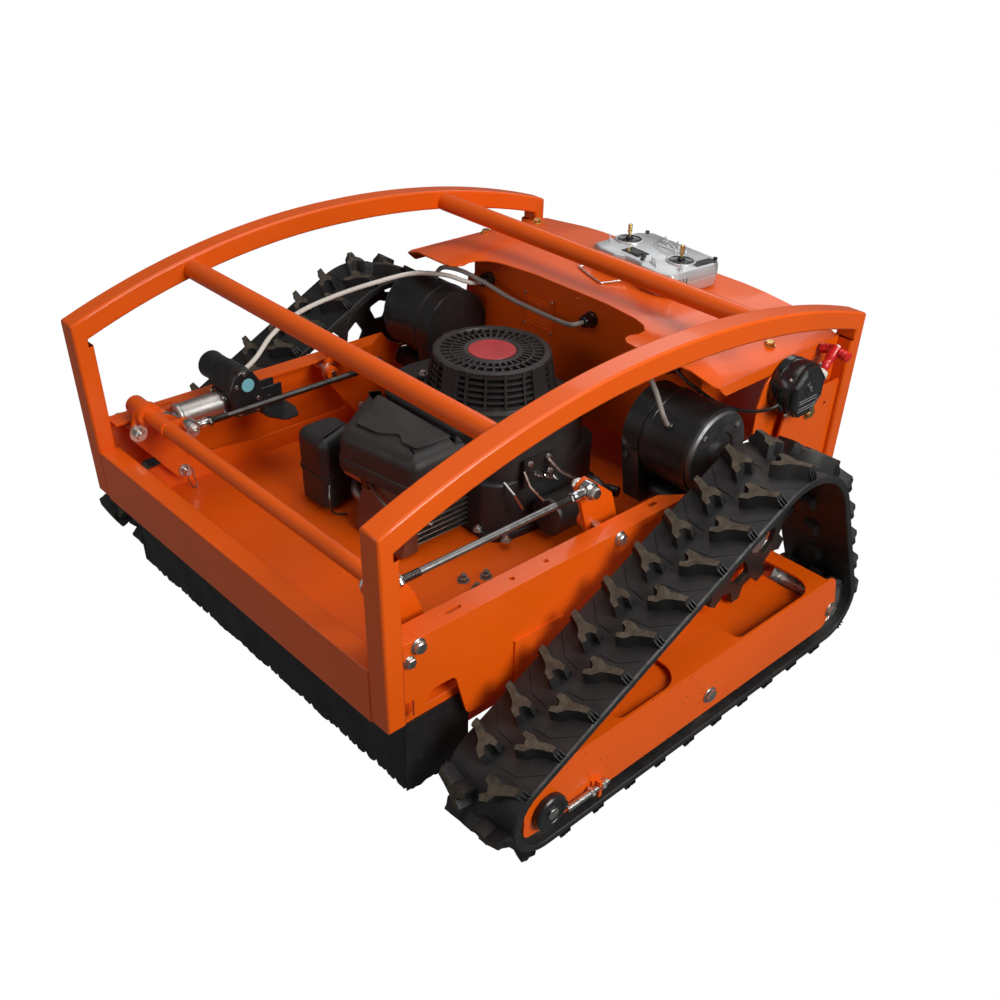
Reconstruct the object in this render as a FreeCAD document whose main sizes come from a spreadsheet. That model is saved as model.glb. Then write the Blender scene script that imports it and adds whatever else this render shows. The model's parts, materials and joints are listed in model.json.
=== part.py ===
import FreeCAD, Part
import math
import os
import re
from FreeCAD import Vector, Rotation, Placement

# Remote-controlled crawler slope mower. +X is the machine's right-hand side seen
# from its front, +Y runs to the rear, +Z is up. The origin lies on the ground in
# the middle of the machine's length and width.
# Lengths along the machine are written as distances behind the front face of the
# cage posts (station 0) and moved to the origin by half of the machine's length.

doc = FreeCAD.newDocument("crawler_mower")
sheet = doc.addObject("Spreadsheet::Sheet", "Dims")
CELLS = {}


def cell(alias, value):
    row = len(CELLS) + 1
    sheet.set("A%d" % row, alias)
    sheet.set("B%d" % row, "%.10g" % value)
    sheet.setAlias("B%d" % row, alias)
    CELLS[alias] = float(value)
    return float(value)


# ---- driving dimensions, mm -------------------------------------------------
YO = cell("half_length", 539)            # front posts to origin
CAGE_HW = cell("cage_half_width", 430)
TUBE_W = cell("tube_width", 40)
TUBE_D = cell("tube_depth", 32)
SP_X = cell("side_plate_x", 422)         # outer face of the side plates
SP_T = cell("plate_thickness", 4)
SP_TOP = cell("side_plate_top", 350)
SHEET_T = cell("sheet_thickness", 3)
BAR_R = cell("crossbar_radius", 17)
BELT_X0 = cell("belt_inner_x", 455)
BELT_W = cell("belt_width", 150)
BELT_T = cell("belt_thickness", 14)
LUG_LEN = cell("lug_height", 24)
PITCH = cell("lug_pitch", 72)
IDLER_Y = cell("idler_y", 150)
IDLER_Z = cell("idler_z", 96)
IDLER_R = cell("idler_radius", 57.7)
MID_Y = cell("mid_wheel_y", 523)
REAR_Y = cell("rear_wheel_y", 876)
ROLL_Z = cell("roller_z", 94)
ROLL_R = cell("roller_radius", 55.7)
SPR_Y = cell("sprocket_y", 697)
SPR_Z = cell("sprocket_z", 285)
SPR_R = cell("sprocket_tip_radius", 136.3)
BELT_SPR_R = cell("belt_radius_at_sprocket", 137)
SHAFT_R = cell("drive_shaft_radius", 15)
MOTOR_R = cell("motor_radius", 78)
MOTOR_Y = cell("motor_y", 715)
MOTOR_Z = cell("motor_z", 393)
PIV_Y = cell("front_pivot_y", 62)
PIV_Z = cell("pivot_z", 338)
PIV_DY = cell("pivot_spacing", 403)
PIN_DY = cell("deck_pin_dy", 72)
PIN_DZ = cell("deck_pin_dz", -101)
EYE_DY = cell("rod_eye_dy", -28)
EYE_DZ = cell("rod_eye_dz", 76)
TT_DY = cell("torque_tube_dy", 22)
TT_DZ = cell("torque_tube_dz", 31)
TT_R = cell("torque_tube_radius", 13.5)
LEVER_X = cell("lever_x", 356)
LEVER_T = cell("lever_thickness", 8)
PIN_R = cell("pin_radius", 6)
PIN_GAP = cell("pin_clearance", 0.35)
DECK_HW = cell("deck_half_width", 400)
DECK_Y0 = cell("deck_front", 52)
DECK_Y1 = cell("deck_rear", 975)
DECK_Z = cell("deck_top", 200)
DECK_ZB = cell("deck_rim", 115)
ENG_X = cell("engine_axis_x", -5)
ENG_Y = cell("engine_axis_y", 578)
BLADE_HL = cell("blade_half_length", 370)
LID_Z = cell("lid_top", 545)
BOX_HW = cell("box_half_width", 300)
BOX_Y0 = cell("box_front", 795)
BOX_Y1 = cell("box_rear", 1046)
BOX_Z0 = cell("box_bottom", 285)
TX_L = cell("transmitter_length", 218)
TX_W = cell("transmitter_width", 158)
TX_T = cell("transmitter_height", 48)

NODES = {}
WORD = re.compile(r"[A-Za-z_][A-Za-z_0-9]*")


def bind(obj, prop, value):
    # a number is set, a string is a formula of the sheet's cells
    if isinstance(value, str):
        text = WORD.sub(lambda m: "Dims." + m.group(0) if m.group(0) in CELLS else m.group(0), value)
        obj.setExpression(prop, text)
    else:
        tgt = obj
        parts = prop.split(".")
        if parts[0] == "Placement":
            pl = obj.Placement
            base = pl.Base
            setattr(base, parts[2], float(value))
            obj.Placement = Placement(base, pl.Rotation)
        else:
            setattr(tgt, prop, float(value))


def uniq(base):
    n = base
    k = 1
    while doc.getObject(n) is not None:
        k += 1
        n = "%s_%d" % (base, k)
    return n


def at_y(y):
    # station -> document y
    if isinstance(y, str):
        return "(%s)-half_length" % y
    return y - YO


def box(name, size, corner):
    o = doc.addObject("Part::Box", uniq(name))
    for prop, v in zip(("Length", "Width", "Height"), size):
        bind(o, prop, v)
    x, y, z = corner
    bind(o, "Placement.Base.x", x)
    bind(o, "Placement.Base.y", at_y(y))
    bind(o, "Placement.Base.z", z)
    return o


AXES = {"x": Rotation(Vector(0, 0, 1), Vector(1, 0, 0)),
        "y": Rotation(Vector(0, 0, 1), Vector(0, 1, 0)),
        "z": Rotation()}


def cyl(name, radius, length, base, axis="x"):
    o = doc.addObject("Part::Cylinder", uniq(name))
    rot = AXES[axis] if isinstance(axis, str) else Rotation(Vector(0, 0, 1), axis)
    o.Placement = Placement(Vector(0, 0, 0), rot)
    bind(o, "Radius", radius)
    bind(o, "Height", length)
    x, y, z = base
    bind(o, "Placement.Base.x", x)
    bind(o, "Placement.Base.y", at_y(y))
    bind(o, "Placement.Base.z", z)
    return o


def cone(name, r_low, r_top, length, base, axis="z"):
    o = doc.addObject("Part::Cone", uniq(name))
    o.Placement = Placement(Vector(0, 0, 0), AXES[axis])
    bind(o, "Radius1", r_low)
    bind(o, "Radius2", r_top)
    bind(o, "Height", length)
    x, y, z = base
    bind(o, "Placement.Base.x", x)
    bind(o, "Placement.Base.y", at_y(y))
    bind(o, "Placement.Base.z", z)
    return o


def fuse(name, *objs):
    o = doc.addObject("Part::MultiFuse", uniq(name))
    o.Shapes = list(objs)
    o.Refine = True
    return o


def cut(name, base, *tools):
    tool = tools[0] if len(tools) == 1 else group(name + "_tools", *tools, kind="Part::MultiFuse")
    o = doc.addObject("Part::Cut", uniq(name))
    o.Base = base
    o.Tool = tool
    o.Refine = True
    return o


def group(name, *objs, kind="Part::Compound"):
    o = doc.addObject(kind, uniq(name))
    if kind == "Part::Compound":
        o.Links = list(objs)
    else:
        o.Shapes = list(objs)
    return o


def mirrored(name, source):
    o = doc.addObject("Part::Mirroring", uniq(name))
    o.Source = source
    o.Base = Vector(0, 0, 0)
    o.Normal = Vector(1, 0, 0)
    return o


def feature(name, shape):
    o = doc.addObject("Part::Feature", uniq(name))
    o.Shape = shape
    return o


def plane_of(body, role):
    for f in body.Origin.OriginFeatures:
        if f.Role == role:
            return f
    raise RuntimeError(role)


def loop_edges(sketch, pts):
    # pts: (u, v) corners or (u, v, r) corners rounded to r
    n = len(pts)
    ends = []
    for i in range(n):
        p = Vector(pts[i][0], pts[i][1], 0)
        r = pts[i][2] if len(pts[i]) > 2 else 0
        if r <= 0:
            ends.append((p, p, None))
            continue
        a = Vector(pts[i - 1][0], pts[i - 1][1], 0) - p
        b = Vector(pts[(i + 1) % n][0], pts[(i + 1) % n][1], 0) - p
        a.normalize()
        b.normalize()
        half = math.acos(max(-1, min(1, a.dot(b)))) / 2
        d = r / math.tan(half)
        mid = a + b
        mid.normalize()
        c = p + mid * (r / math.sin(half))
        ends.append((p + a * d, p + b * d, c - mid * r))
    geo = []
    for i in range(n):
        s, e, m = ends[i]
        if m is not None:
            geo.append(Part.Arc(s, m, e))
        nxt = ends[(i + 1) % n][0]
        if (nxt - e).Length > 1e-6:
            geo.append(Part.LineSegment(e, nxt))
    for g in geo:
        if isinstance(g, Part.Arc):
            sketch.addGeometry(g, False)
        else:
            sketch.addGeometry(g, False)


def plate(name, plane, pts, thickness, offset, holes=(), loops=(), slots=()):
    """PartDesign body: outline padded by `thickness` from `offset` along the plane's normal.
    plane 'YZ': u = station y, v = z, normal +X.  plane 'XY': u = x, v = station y, normal +Z."""
    body = doc.addObject("PartDesign::Body", uniq(name))
    sk = body.newObject("Sketcher::SketchObject", uniq(name + "_outline"))
    sk.AttachmentSupport = [(plane_of(body, plane + "_Plane"), "")]
    sk.MapMode = "FlatFace"

    def conv(p):
        if plane == "YZ":
            return (p[0] - YO, p[1]) + tuple(p[2:])
        return (p[0], p[1] - YO) + tuple(p[2:])

    loop_edges(sk, [conv(p) for p in pts])
    for lp in loops:
        loop_edges(sk, [conv(p) for p in lp])
    for (u, v, r) in holes:
        cu, cv = conv((u, v))[:2]
        sk.addGeometry(Part.Circle(Vector(cu, cv, 0), Vector(0, 0, 1), r), False)
    for (u, v, half, r, ang) in slots:
        cu, cv = conv((u, v))[:2]
        c, s = math.cos(math.radians(ang)), math.sin(math.radians(ang))

        def q(a, b):
            return Vector(cu + a * c - b * s, cv + a * s + b * c, 0)
        sk.addGeometry(Part.LineSegment(q(-half, r), q(half, r)), False)
        sk.addGeometry(Part.Arc(q(half, r), q(half + r, 0), q(half, -r)), False)
        sk.addGeometry(Part.LineSegment(q(half, -r), q(-half, -r)), False)
        sk.addGeometry(Part.Arc(q(-half, -r), q(-half - r, 0), q(-half, r)), False)
    pad = body.newObject("PartDesign::Pad", uniq(name + "_pad"))
    pad.Profile = sk
    bind(pad, "Length", thickness)
    body.Tip = pad
    axis = {"YZ": "x", "XY": "z"}[plane]
    bind(body, "Placement.Base." + axis, offset)
    return body


def node(obj, name):
    obj.Label = name
    NODES[name] = obj
    return obj


def both(right, base_name):
    """Name a right-hand piece and add its mirror image."""
    node(right, base_name + "_right")
    left = mirrored(base_name + "_left", right)
    node(left, base_name + "_left")
    return right, left


# ---- cage ---------------------------------------------------------------------
def arch_shape():
    # five points on the outer edge of the arched top tube: (station, z)
    pts = [(0.0, 538.0), (228.0, 606.0), (540.0, 638.0), (792.0, 621.0), (1078.0, 556.0)]
    # one smooth arc chain through the points, offset downwards by the tube's depth
    outer = [Vector(0, y - YO, z) for y, z in pts]
    inner = [Vector(0, y - YO, z - 36.0) for y, z in [(TUBE_D - 8, 551.0 - 6), (228.0, 606.0), (540.0, 638.0), (792.0, 621.0), (1078.0 - TUBE_D + 8, 566.0)]]
    e1 = Part.Arc(outer[0], outer[1], outer[2]).toShape()
    e2 = Part.Arc(outer[2], outer[3], outer[4]).toShape()
    i1 = Part.Arc(inner[0], inner[1], inner[2]).toShape()
    i2 = Part.Arc(inner[2], inner[3], inner[4]).toShape()
    lo0 = Vector(0, inner[0].y, inner[0].z)
    lo1 = Vector(0, inner[4].y, inner[4].z)
    f0 = Vector(0, outer[0].y, 497.0)
    f1 = Vector(0, lo0.y, 497.0)
    r0 = Vector(0, outer[4].y, 512.0)
    r1 = Vector(0, lo1.y, 512.0)
    edges = [e1, e2,
             Part.makeLine(outer[4], r0), Part.makeLine(r0, r1), Part.makeLine(r1, lo1),
             i2, i1,
             Part.makeLine(lo0, f1), Part.makeLine(f1, f0), Part.makeLine(f0, outer[0])]
    w = Part.Wire(Part.__sortEdges__(edges))
    face = Part.Face(w)
    s = face.extrude(Vector(TUBE_W, 0, 0))
    s.translate(Vector(CAGE_HW - TUBE_W, 0, 0))
    return s


arch = feature("arch_tube", arch_shape())
both(arch, "arch")
post_f = box("post_front_r", ("tube_width", "tube_depth", 497.0 - 214.0),
             ("cage_half_width-tube_width", 0, 214))
post_fl = box("post_front_l", ("tube_width", "tube_depth", 497.0 - 214.0),
              ("-cage_half_width", 0, 214))
node(group("posts_front", post_f, post_fl), "front_posts")
post_r = box("post_rear_r", ("tube_width", "tube_depth", 512.0 - 214.0),
             ("cage_half_width-tube_width", "2*half_length-tube_depth", 214))
post_rl = box("post_rear_l", ("tube_width", "tube_depth", 512.0 - 214.0),
              ("-cage_half_width", "2*half_length-tube_depth", 214))
node(group("posts_rear", post_r, post_rl), "rear_posts")
bar_f = cyl("bar_front", "crossbar_radius", "2*cage_half_width-2*tube_width",
            ("-cage_half_width+tube_width", 228, 584), "x")
bar_r = cyl("bar_rear", "crossbar_radius", "2*cage_half_width-2*tube_width",
            ("-cage_half_width+tube_width", 792, 600), "x")
node(group("bars", bar_f, bar_r), "crossbars")

# front beam: a folded box section between the front posts
beam = box("beam_solid", ("2*cage_half_width-2*tube_width", 36, 95), ("-cage_half_width+tube_width", 0, 211))
beam_hollow = box("beam_void", ("2*cage_half_width-2*tube_width", 36 - 8, 95 - 8), ("-cage_half_width+tube_width", 4, 215))
node(cut("beam_tube", beam, beam_hollow), "front_beam")
rbeam = box("rear_beam_solid", ("2*cage_half_width-2*tube_width", "tube_depth", 40), ("-cage_half_width+tube_width", "2*half_length-tube_depth", 246))
rbeam_h = box("rear_beam_void", ("2*cage_half_width-2*tube_width", "tube_depth-6", 34), ("-cage_half_width+tube_width", "2*half_length-tube_depth+3", 249))
node(cut("rear_beam_tube", rbeam, rbeam_h), "rear_beam")

# ---- side plates ---------------------------------------------------------------
mot_cut_r = 84.0
dy = math.sqrt(mot_cut_r ** 2 - (MOTOR_Z - SP_TOP) ** 2)
# the front lower corner drops behind the deck's end; a rounded window is left over the ear
outline = [(36.5, 350), (36.5, 246), (52, 246, 4), (52, 212, 4), (64, 212, 10), (84, 246, 12), (128, 246, 12), (150, 158, 16),
           (1000, 158, 30), (1045.5, 214, 6), (1045.5, 438, 4), (888, 438, 14), (872, 350, 10)]
side = plate("side_sheet", "YZ", outline, "plate_thickness", "side_plate_x-plate_thickness",
             holes=[(PIV_Y, PIV_Z, PIN_R + 0.25), (PIV_Y + PIV_DY, PIV_Z, PIN_R + 0.25),
                    (SPR_Y, SPR_Z, 22.0), (300, 110 + 70, 4.5), (404, 230, 4.5), (560, 236, 4.5),
                    (960, 398, 6.5), (1010, 398, 4.5)])
flange = plate("side_flange", "XY",
               [(SP_X - SP_T, 36.5), (384, 36.5), (384, 120), (387, 592), (SP_X - SP_T, 636)],
               "plate_thickness", "side_plate_top-plate_thickness",
               holes=[(403, 252, 4.5), (403, 321, 4.5)],
               slots=[(403, 140, 10, 4.0, 90), (400, 566, 6, 4.0, 90)])
motor_window = cyl("motor_window", mot_cut_r, 60, (380, "motor_y", "motor_z"), "x")
drum_window = cyl("drum_window", 52, 40, (400, 890, 470), "x")
side_r = cut("side_plate_r", fuse("side_folded", side, flange), motor_window, drum_window)
both(side_r, "side_plate")

# ---- track frame ------------------------------------------------------------------
FR_X0, FR_X1, FR_T = 457.0, 597.0, 4.0
cell("frame_inner_x", FR_X0)
cell("frame_outer_x", FR_X1)
prof = [(184, 172, 8), (128, 140, 10), (105, 120, 12), (105, 62, 14), (150, 57), (862, 57, 10), (893, 92, 14), (868, 172, 24)]
web_o = plate("frame_outer", "YZ", prof, FR_T, "frame_outer_x-%g" % FR_T,
              holes=[(MID_Y, ROLL_Z, 8.25), (REAR_Y, ROLL_Z, 8.25)],
              slots=[(IDLER_Y + 4, IDLER_Z, 14, 11.3, 0)])
web_i = plate("frame_inner", "YZ", prof, FR_T, "frame_inner_x",
              holes=[(MID_Y, ROLL_Z, 8.25), (REAR_Y, ROLL_Z, 8.25)],
              slots=[(IDLER_Y + 4, IDLER_Z, 14, 11.3, 0)])
top = plate("frame_top", "XY", [(FR_X0, 188), (FR_X1, 188), (FR_X1, 846), (FR_X0, 846)], FR_T, 168.0,
            loops=[[(470, 300, 14), (592, 300, 14), (592, 448, 45), (470, 450, 14)],
                   [(470, 590, 14), (592, 590, 14), (592, 811, 45), (470, 812, 14)]])
arm_a = box("frame_arm_a", ("frame_inner_x-side_plate_x", 60, 40), ("side_plate_x", 262, 100))
arm_b = box("frame_arm_b", ("frame_inner_x-side_plate_x", 60, 40), ("side_plate_x", 820, 100))
foot_a = box("frame_foot_a", (4, 100, 90), ("side_plate_x", 242, 84 + 76))
foot_b = box("frame_foot_b", (4, 100, 90), ("side_plate_x", 800, 84 + 76))
leg_a = box("frame_leg_a", (4, 60, 80), ("side_plate_x", 262, 100))
leg_b = box("frame_leg_b", (4, 60, 80), ("side_plate_x", 820, 100))
tab = box("tensioner_tab", (4, 18, 30), (597, 242, 59))
tab2 = box("tensioner_lug", (14, 6, 30), (597, 248, 59))
tabhole = cyl("tensioner_lug_hole", 5.3, 20, (606, 240, 76), "y")
frame_r = cut("track_frame_r", fuse("track_frame_f", web_o, web_i, top, arm_a, arm_b, foot_a, foot_b, leg_a, leg_b, tab, tab2), tabhole)
both(frame_r, "track_frame")

# belt tensioners: a fork on the idler axle's end with its adjusting bolt
axle = cyl("idler_axle", 11, 156, (457.5, IDLER_Y, IDLER_Z), "x")
fork = box("fork_block", (13.5, 42, 34), (597.5, 140, 79))
bolt_t = cyl("adjust_bolt", 5, 78, (606, 182, 76 + 4), "y")
ten_r = fuse("tensioner_r", axle, fork, cyl("adjust_bolt_a", 5, 90, (606, 182, 76), "y"),
             cyl("adjust_nut", 9, 8, (606, 232, 76), "y"))
ten_l = mirrored("tensioner_l", ten_r)
node(group("tensioners", ten_r, ten_l), "belt_tensioners")

# ---- belt -------------------------------------------------------------------------
def tangent(c1, r1, c2, r2):
    # outer tangent of two circles, on the left of the way from c1 to c2
    d = (c2 - c1)
    L = d.Length
    u = d * (1 / L)
    n = Vector(0, -u.z, u.y)
    s = (r1 - r2) / L
    c = math.sqrt(1 - s * s)
    q = u * s + n * c
    return c1 + q * r1, c2 + q * r2


def loop_wire(extra):
    cs = [(Vector(0, REAR_Y - YO, ROLL_Z), ROLL_R + 0.3 + extra),
          (Vector(0, IDLER_Y - YO, IDLER_Z), IDLER_R + 0.3 + extra),
          (Vector(0, SPR_Y - YO, SPR_Z), BELT_SPR_R + extra)]
    # walk rear -> idler -> sprocket with the loop's outside on the right
    tans = []
    for i in range(3):
        c1, r1 = cs[i]
        c2, r2 = cs[(i + 1) % 3]
        d = c2 - c1
        L = d.Length
        u = d * (1 / L)
        n = Vector(0, -u.z, u.y)
        s = (r1 - r2) / L
        c = math.sqrt(1 - s * s)
        q = u * s + n * c
        tans.append((c1 + q * r1, c2 + q * r2))
    edges = []
    for i in range(3):
        edges.append(Part.makeLine(tans[i][0], tans[i][1]))
        cc, rr = cs[(i + 1) % 3]
        a = tans[i][1]
        b = tans[(i + 1) % 3][0]
        va = a - cc
        vb = b - cc
        m = va + vb
        if m.Length < 1e-6:
            m = Vector(0, 1, 0)
        m.normalize()
        # the middle of the arc lies on the outside of the loop's triangle
        centre = Vector(0, (REAR_Y + IDLER_Y + SPR_Y) / 3 - YO, (ROLL_Z + IDLER_Z + SPR_Z) / 3)
        if m.dot(cc - centre) < 0:
            m = m * -1
        edges.append(Part.Arc(a, cc + m * rr, b).toShape())
    return Part.Wire(edges), edges


inner_w, inner_e = loop_wire(0)
outer_w, outer_e = loop_wire(BELT_T)
pitch_w, pitch_e = loop_wire(BELT_T)
LOOP = pitch_w.Length
N_LUG = int(round(loop_wire(BELT_T / 2)[0].Length / PITCH))
print("belt loop at mid thickness", loop_wire(BELT_T / 2)[0].Length, "lugs", N_LUG)


def along(dist):
    dist = dist % LOOP
    for e in pitch_e:
        if dist <= e.Length or e is pitch_e[-1]:
            p = e.getParameterByLength(min(dist, e.Length))
            return e.valueAt(p), e.tangentAt(p)
        dist -= e.Length
    raise RuntimeError("loop")


ring = Part.Face(outer_w).cut(Part.Face(inner_w)).extrude(Vector(BELT_W, 0, 0))
ring.translate(Vector(BELT_X0, 0, 0))
solids = []
step = LOOP / N_LUG
mid_c = Vector(0, (REAR_Y + IDLER_Y + SPR_Y) / 3 - YO, (ROLL_Z + IDLER_Z + SPR_Z) / 3)
for i in range(N_LUG):
    for row, (xa, xb, shift) in enumerate(((BELT_X0 + 5, BELT_X0 + 74, 0.0), (BELT_X0 + 76, BELT_X0 + BELT_W - 5, 0.5))):
        p, t = along((i + shift) * step + 10)
        nrm = Vector(0, t.z, -t.y)
        if nrm.dot(p - mid_c) < 0:
            nrm = nrm * -1
        if nrm.z < -0.99999 and row == 0:
            print('ground face at x', (xa + xb) / 2, 'station', round(p.y + YO, 3))
        c = p - nrm * 3.0
        q = [c - t * 17.0, c + t * 17.0, c + t * 11.0 + nrm * (LUG_LEN + 3.0), c - t * 11.0 + nrm * (LUG_LEN + 3.0)]
        f = Part.Face(Part.makePolygon(q + [q[0]]))
        s = f.extrude(Vector(xb - xa, 0, 0))
        s.translate(Vector(xa, 0, 0))
        solids.append(s)
    # guide lug on the inside, between the wheels' discs
belt_shape = ring.multiFuse(solids)
belt = feature("belt_band", belt_shape)
both(belt, "track_belt")

# ---- wheels, sprockets and shafts ----------------------------------------------------
def wheel(name, y, z, r, bore):
    d1 = cyl(name + "_disc_a", r, 16, (472, y, z), "x")
    d2 = cyl(name + "_disc_b", r, 16, (572, y, z), "x")
    hub = cyl(name + "_hub", 24, 116, (472, y, z), "x")
    hole = cyl(name + "_bore", bore, 140, (460, y, z), "x")
    rec = cyl(name + "_dish", r + "-12" if isinstance(r, str) else r - 12, 10, (582, y, z), "x")
    boss = cyl(name + "_boss", 24, 10, (582, y, z), "x")
    return cut(name + "_w", fuse(name + "_f", cut(name + "_d", fuse(name + "_b", d1, d2, hub), rec), boss), hole)


idler_r = wheel("idler_r", "idler_y", "idler_z", "idler_radius", 11.06)
both(idler_r, "idler")
mid_r = wheel("mid_r", "mid_wheel_y", "roller_z", "roller_radius", 8.06)
both(mid_r, "mid_wheel")
rear_r = wheel("rear_r", "rear_wheel_y", "roller_z", "roller_radius", 8.06)
both(rear_r, "rear_wheel")
ax_m = fuse("mid_axle", cyl("mid_axle_rod", 8, 144, (457, "mid_wheel_y", "roller_z"), "x"), cyl("mid_axle_head", 13, 8, (597, "mid_wheel_y", "roller_z"), "x"))
ax_r = fuse("rear_axle", cyl("rear_axle_rod", 8, 144, (457, "rear_wheel_y", "roller_z"), "x"), cyl("rear_axle_head", 13, 8, (597, "rear_wheel_y", "roller_z"), "x"))
node(group("axles", ax_m, ax_r, mirrored("mid_axle_l", ax_m), mirrored("rear_axle_l", ax_r)), "wheel_axles")

teeth = []
NT = 12
for k in range(NT):
    a0 = 2 * math.pi * k / NT
    for (da, rr) in ((-0.150, 112.0), (-0.075, SPR_R), (0.075, SPR_R), (0.150, 112.0)):
        teeth.append((SPR_Y + rr * math.cos(a0 + da), SPR_Z + rr * math.sin(a0 + da)))
windows = []
for k in range(6):
    a0 = 2 * math.pi * (k + 0.5) / 6
    w = []
    for (da, rr) in ((-0.30, 92.0), (0.0, 98.0), (0.30, 92.0), (0.20, 58.0), (-0.20, 58.0)):
        w.append((SPR_Y + rr * math.cos(a0 + da), SPR_Z + rr * math.sin(a0 + da), 6))
    windows.append(w)
spr = plate("sprocket_disc", "YZ", teeth, 10.0, 496.0, loops=windows, holes=[(SPR_Y, SPR_Z, 15.05)])
hub = cut("sprocket_hub", cyl("sprocket_hub_o", 30, 30, (496, "sprocket_y", "sprocket_z"), "x"),
          cyl("sprocket_hub_i", "drive_shaft_radius+0.05", 80, (490, "sprocket_y", "sprocket_z"), "x"))
spr_r = fuse("sprocket_r", spr, hub)
both(spr_r, "sprocket")
shaft_r = fuse("shaft_r", cyl("shaft_rod", "drive_shaft_radius", 526 - 262, (262, "sprocket_y", "sprocket_z"), "x"),
               cyl("shaft_cap", 20, 5, (526, "sprocket_y", "sprocket_z"), "x"))
both(shaft_r, "drive_shaft")

# ---- drive units -------------------------------------------------------------------------
def rounded_plate_x(name, pts, x0, x1, holes=()):
    return plate(name, "YZ", pts, float(x1 - x0), float(x0), holes=holes)


gc = rounded_plate_x("gearcase_body", [(657, 268, 8), (738, 268, 8), (790, 372), (715, 393), (640, 372)], 262, 299.5,
                     holes=[(SPR_Y, SPR_Z, 15.06)])
sleeve = cut("bearing_sleeve", cyl("bearing_sleeve_o", 21.5, 418 - 299.5, (299.5, "sprocket_y", "sprocket_z"), "x"),
             cyl("bearing_sleeve_i", "drive_shaft_radius+0.06", 140, (290, "sprocket_y", "sprocket_z"), "x"))
gear_drum = cut("gear_drum_cut", cyl("gear_drum", 77, 37.5, (262, "motor_y", "motor_z"), "x"), cyl("gear_drum_bore", 15.06, 60, (250, "sprocket_y", "sprocket_z"), "x"))
gc_r = fuse("gearcase_r", gc, gear_drum, sleeve)
node(group("gearcase_pair", gc_r, mirrored("gearcase_l", gc_r)), "gearcases")
can = cyl("motor_can", "motor_radius", 100, (300, "motor_y", "motor_z"), "x")
capm = cyl("motor_cap", "motor_radius-3", 10, (400, "motor_y", "motor_z"), "x")
mot_r = fuse("motor_r", can, capm, cyl("motor_boss", 20, 4, (410, "motor_y", "motor_z"), "x"))
node(group("motor_pair", mot_r, mirrored("motor_l", mot_r)), "drive_motors")

# ---- deck -----------------------------------------------------------------------------------
pan = box("pan_outer", ("2*deck_half_width", "deck_rear-deck_front", "deck_top-deck_rim"), ("-deck_half_width", "deck_front", "deck_rim"))
pan_in = box("pan_inner", ("2*deck_half_width-8", "deck_rear-deck_front-8", "deck_top-deck_rim"), ("-deck_half_width+4", "deck_front+4", "deck_rim-4"))
spindle_hole = cyl("spindle_hole", 30, 20, ("engine_axis_x", "engine_axis_y", 190), "z")
rail = plate("deck_rail", "YZ", [(56, 198), (56, 246, 4), (92, 250), (PIN_DY + PIV_Y - 26, 252), (PIN_DY + PIV_Y, 262, 20), (PIN_DY + PIV_Y + 30, 248),
                                 (300, 236), (PIN_DY + PIV_Y + PIV_DY - 28, 236), (PIN_DY + PIV_Y + PIV_DY, 262, 20), (PIN_DY + PIV_Y + PIV_DY + 28, 232), (600, 198)], 5.0, 376.0,
             holes=[(PIN_DY + PIV_Y, PIN_DZ + PIV_Z, PIN_R + PIN_GAP), (PIN_DY + PIV_Y + PIV_DY, PIN_DZ + PIV_Z, PIN_R + PIN_GAP)])
rail_l = mirrored("deck_rail_l", rail)
lip = box("deck_front_lip", ("2*deck_half_width-38", 4, 42), ("-deck_half_width+19", "deck_front+4", 198))
deck_n = cut("deck_welded", fuse("deck_all", cut("deck_pan_shell", pan, pan_in), rail, rail_l, lip), spindle_hole)
node(deck_n, "mower_deck")
skirts = [box("front_skirt", ("2*deck_half_width-2", 4, 150), ("-deck_half_width+1", 47.6, 45)),
          box("side_skirt", (4, 120, 140), ("deck_half_width+0.4", 48, 45)), box("side_skirt", (4, 120, 140), ("-deck_half_width-4.4", 48, 45))]
node(group("skirt_set", *skirts), "rubber_skirt")

# engine: crankcase, blower housing, fan cover, covers, silencer
case = plate("crankcase", "XY", [(-150, 440, 30), (150, 440, 40), (165, 600, 40), (120, 735, 40), (-120, 735, 40), (-165, 600, 40)], 110.0, 200.0,
             holes=[(ENG_X, ENG_Y, 16.4)])
barrel = box("cylinder_block", (150, 140, 96), (-60, 302, 210))
node(fuse("engine_core", case, barrel), "engine_block")
bh = plate("blower_body", "XY", [(-190, 500, 60), (-130, 430, 20), (60, 430, 20), (150, 470, 60), (170, 600, 60), (110, 712, 60), (-110, 712, 60), (-180, 640, 60)], 90.0, 310.0,
           holes=[(ENG_X, ENG_Y, 17)])
node(bh, "blower_housing")
fan_out = cone("fan_cover_outer", 118, 103, 75, ("engine_axis_x", "engine_axis_y", 400), "z")
fan_in = cone("fan_cover_inner", 115, 100, 72, ("engine_axis_x", "engine_axis_y", 400), "z")
ribs = []
for k in range(3):
    ring_o = cyl("fan_slot_o", 92 - 18 * k, 10, ("engine_axis_x", "engine_axis_y", 469), "z")
    ring_i = cyl("fan_slot_i", 92 - 18 * k - 9, 10, ("engine_axis_x", "engine_axis_y", 469), "z")
    ribs.append(cut("fan_slot", ring_o, ring_i))
cross = [box("fan_spoke", (200, 8, 8), ("engine_axis_x-100", "engine_axis_y-4", 469)), box("fan_spoke", (8, 200, 8), ("engine_axis_x-4", "engine_axis_y-100", 469))]
slots_cut = cut("fan_slots", fuse("fan_rings", *ribs), *cross)
node(cut("fan_cover_c", cut("fan_cover_s", fan_out, fan_in), slots_cut), "fan_cover")
cov = plate("air_cover_body", "XY", [(-75, 285, 26), (100, 312, 20), (108, 428.5, 8), (-165, 428.5, 10)], 88.0, 311.0)
node(cov, "air_filter_cover")
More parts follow.
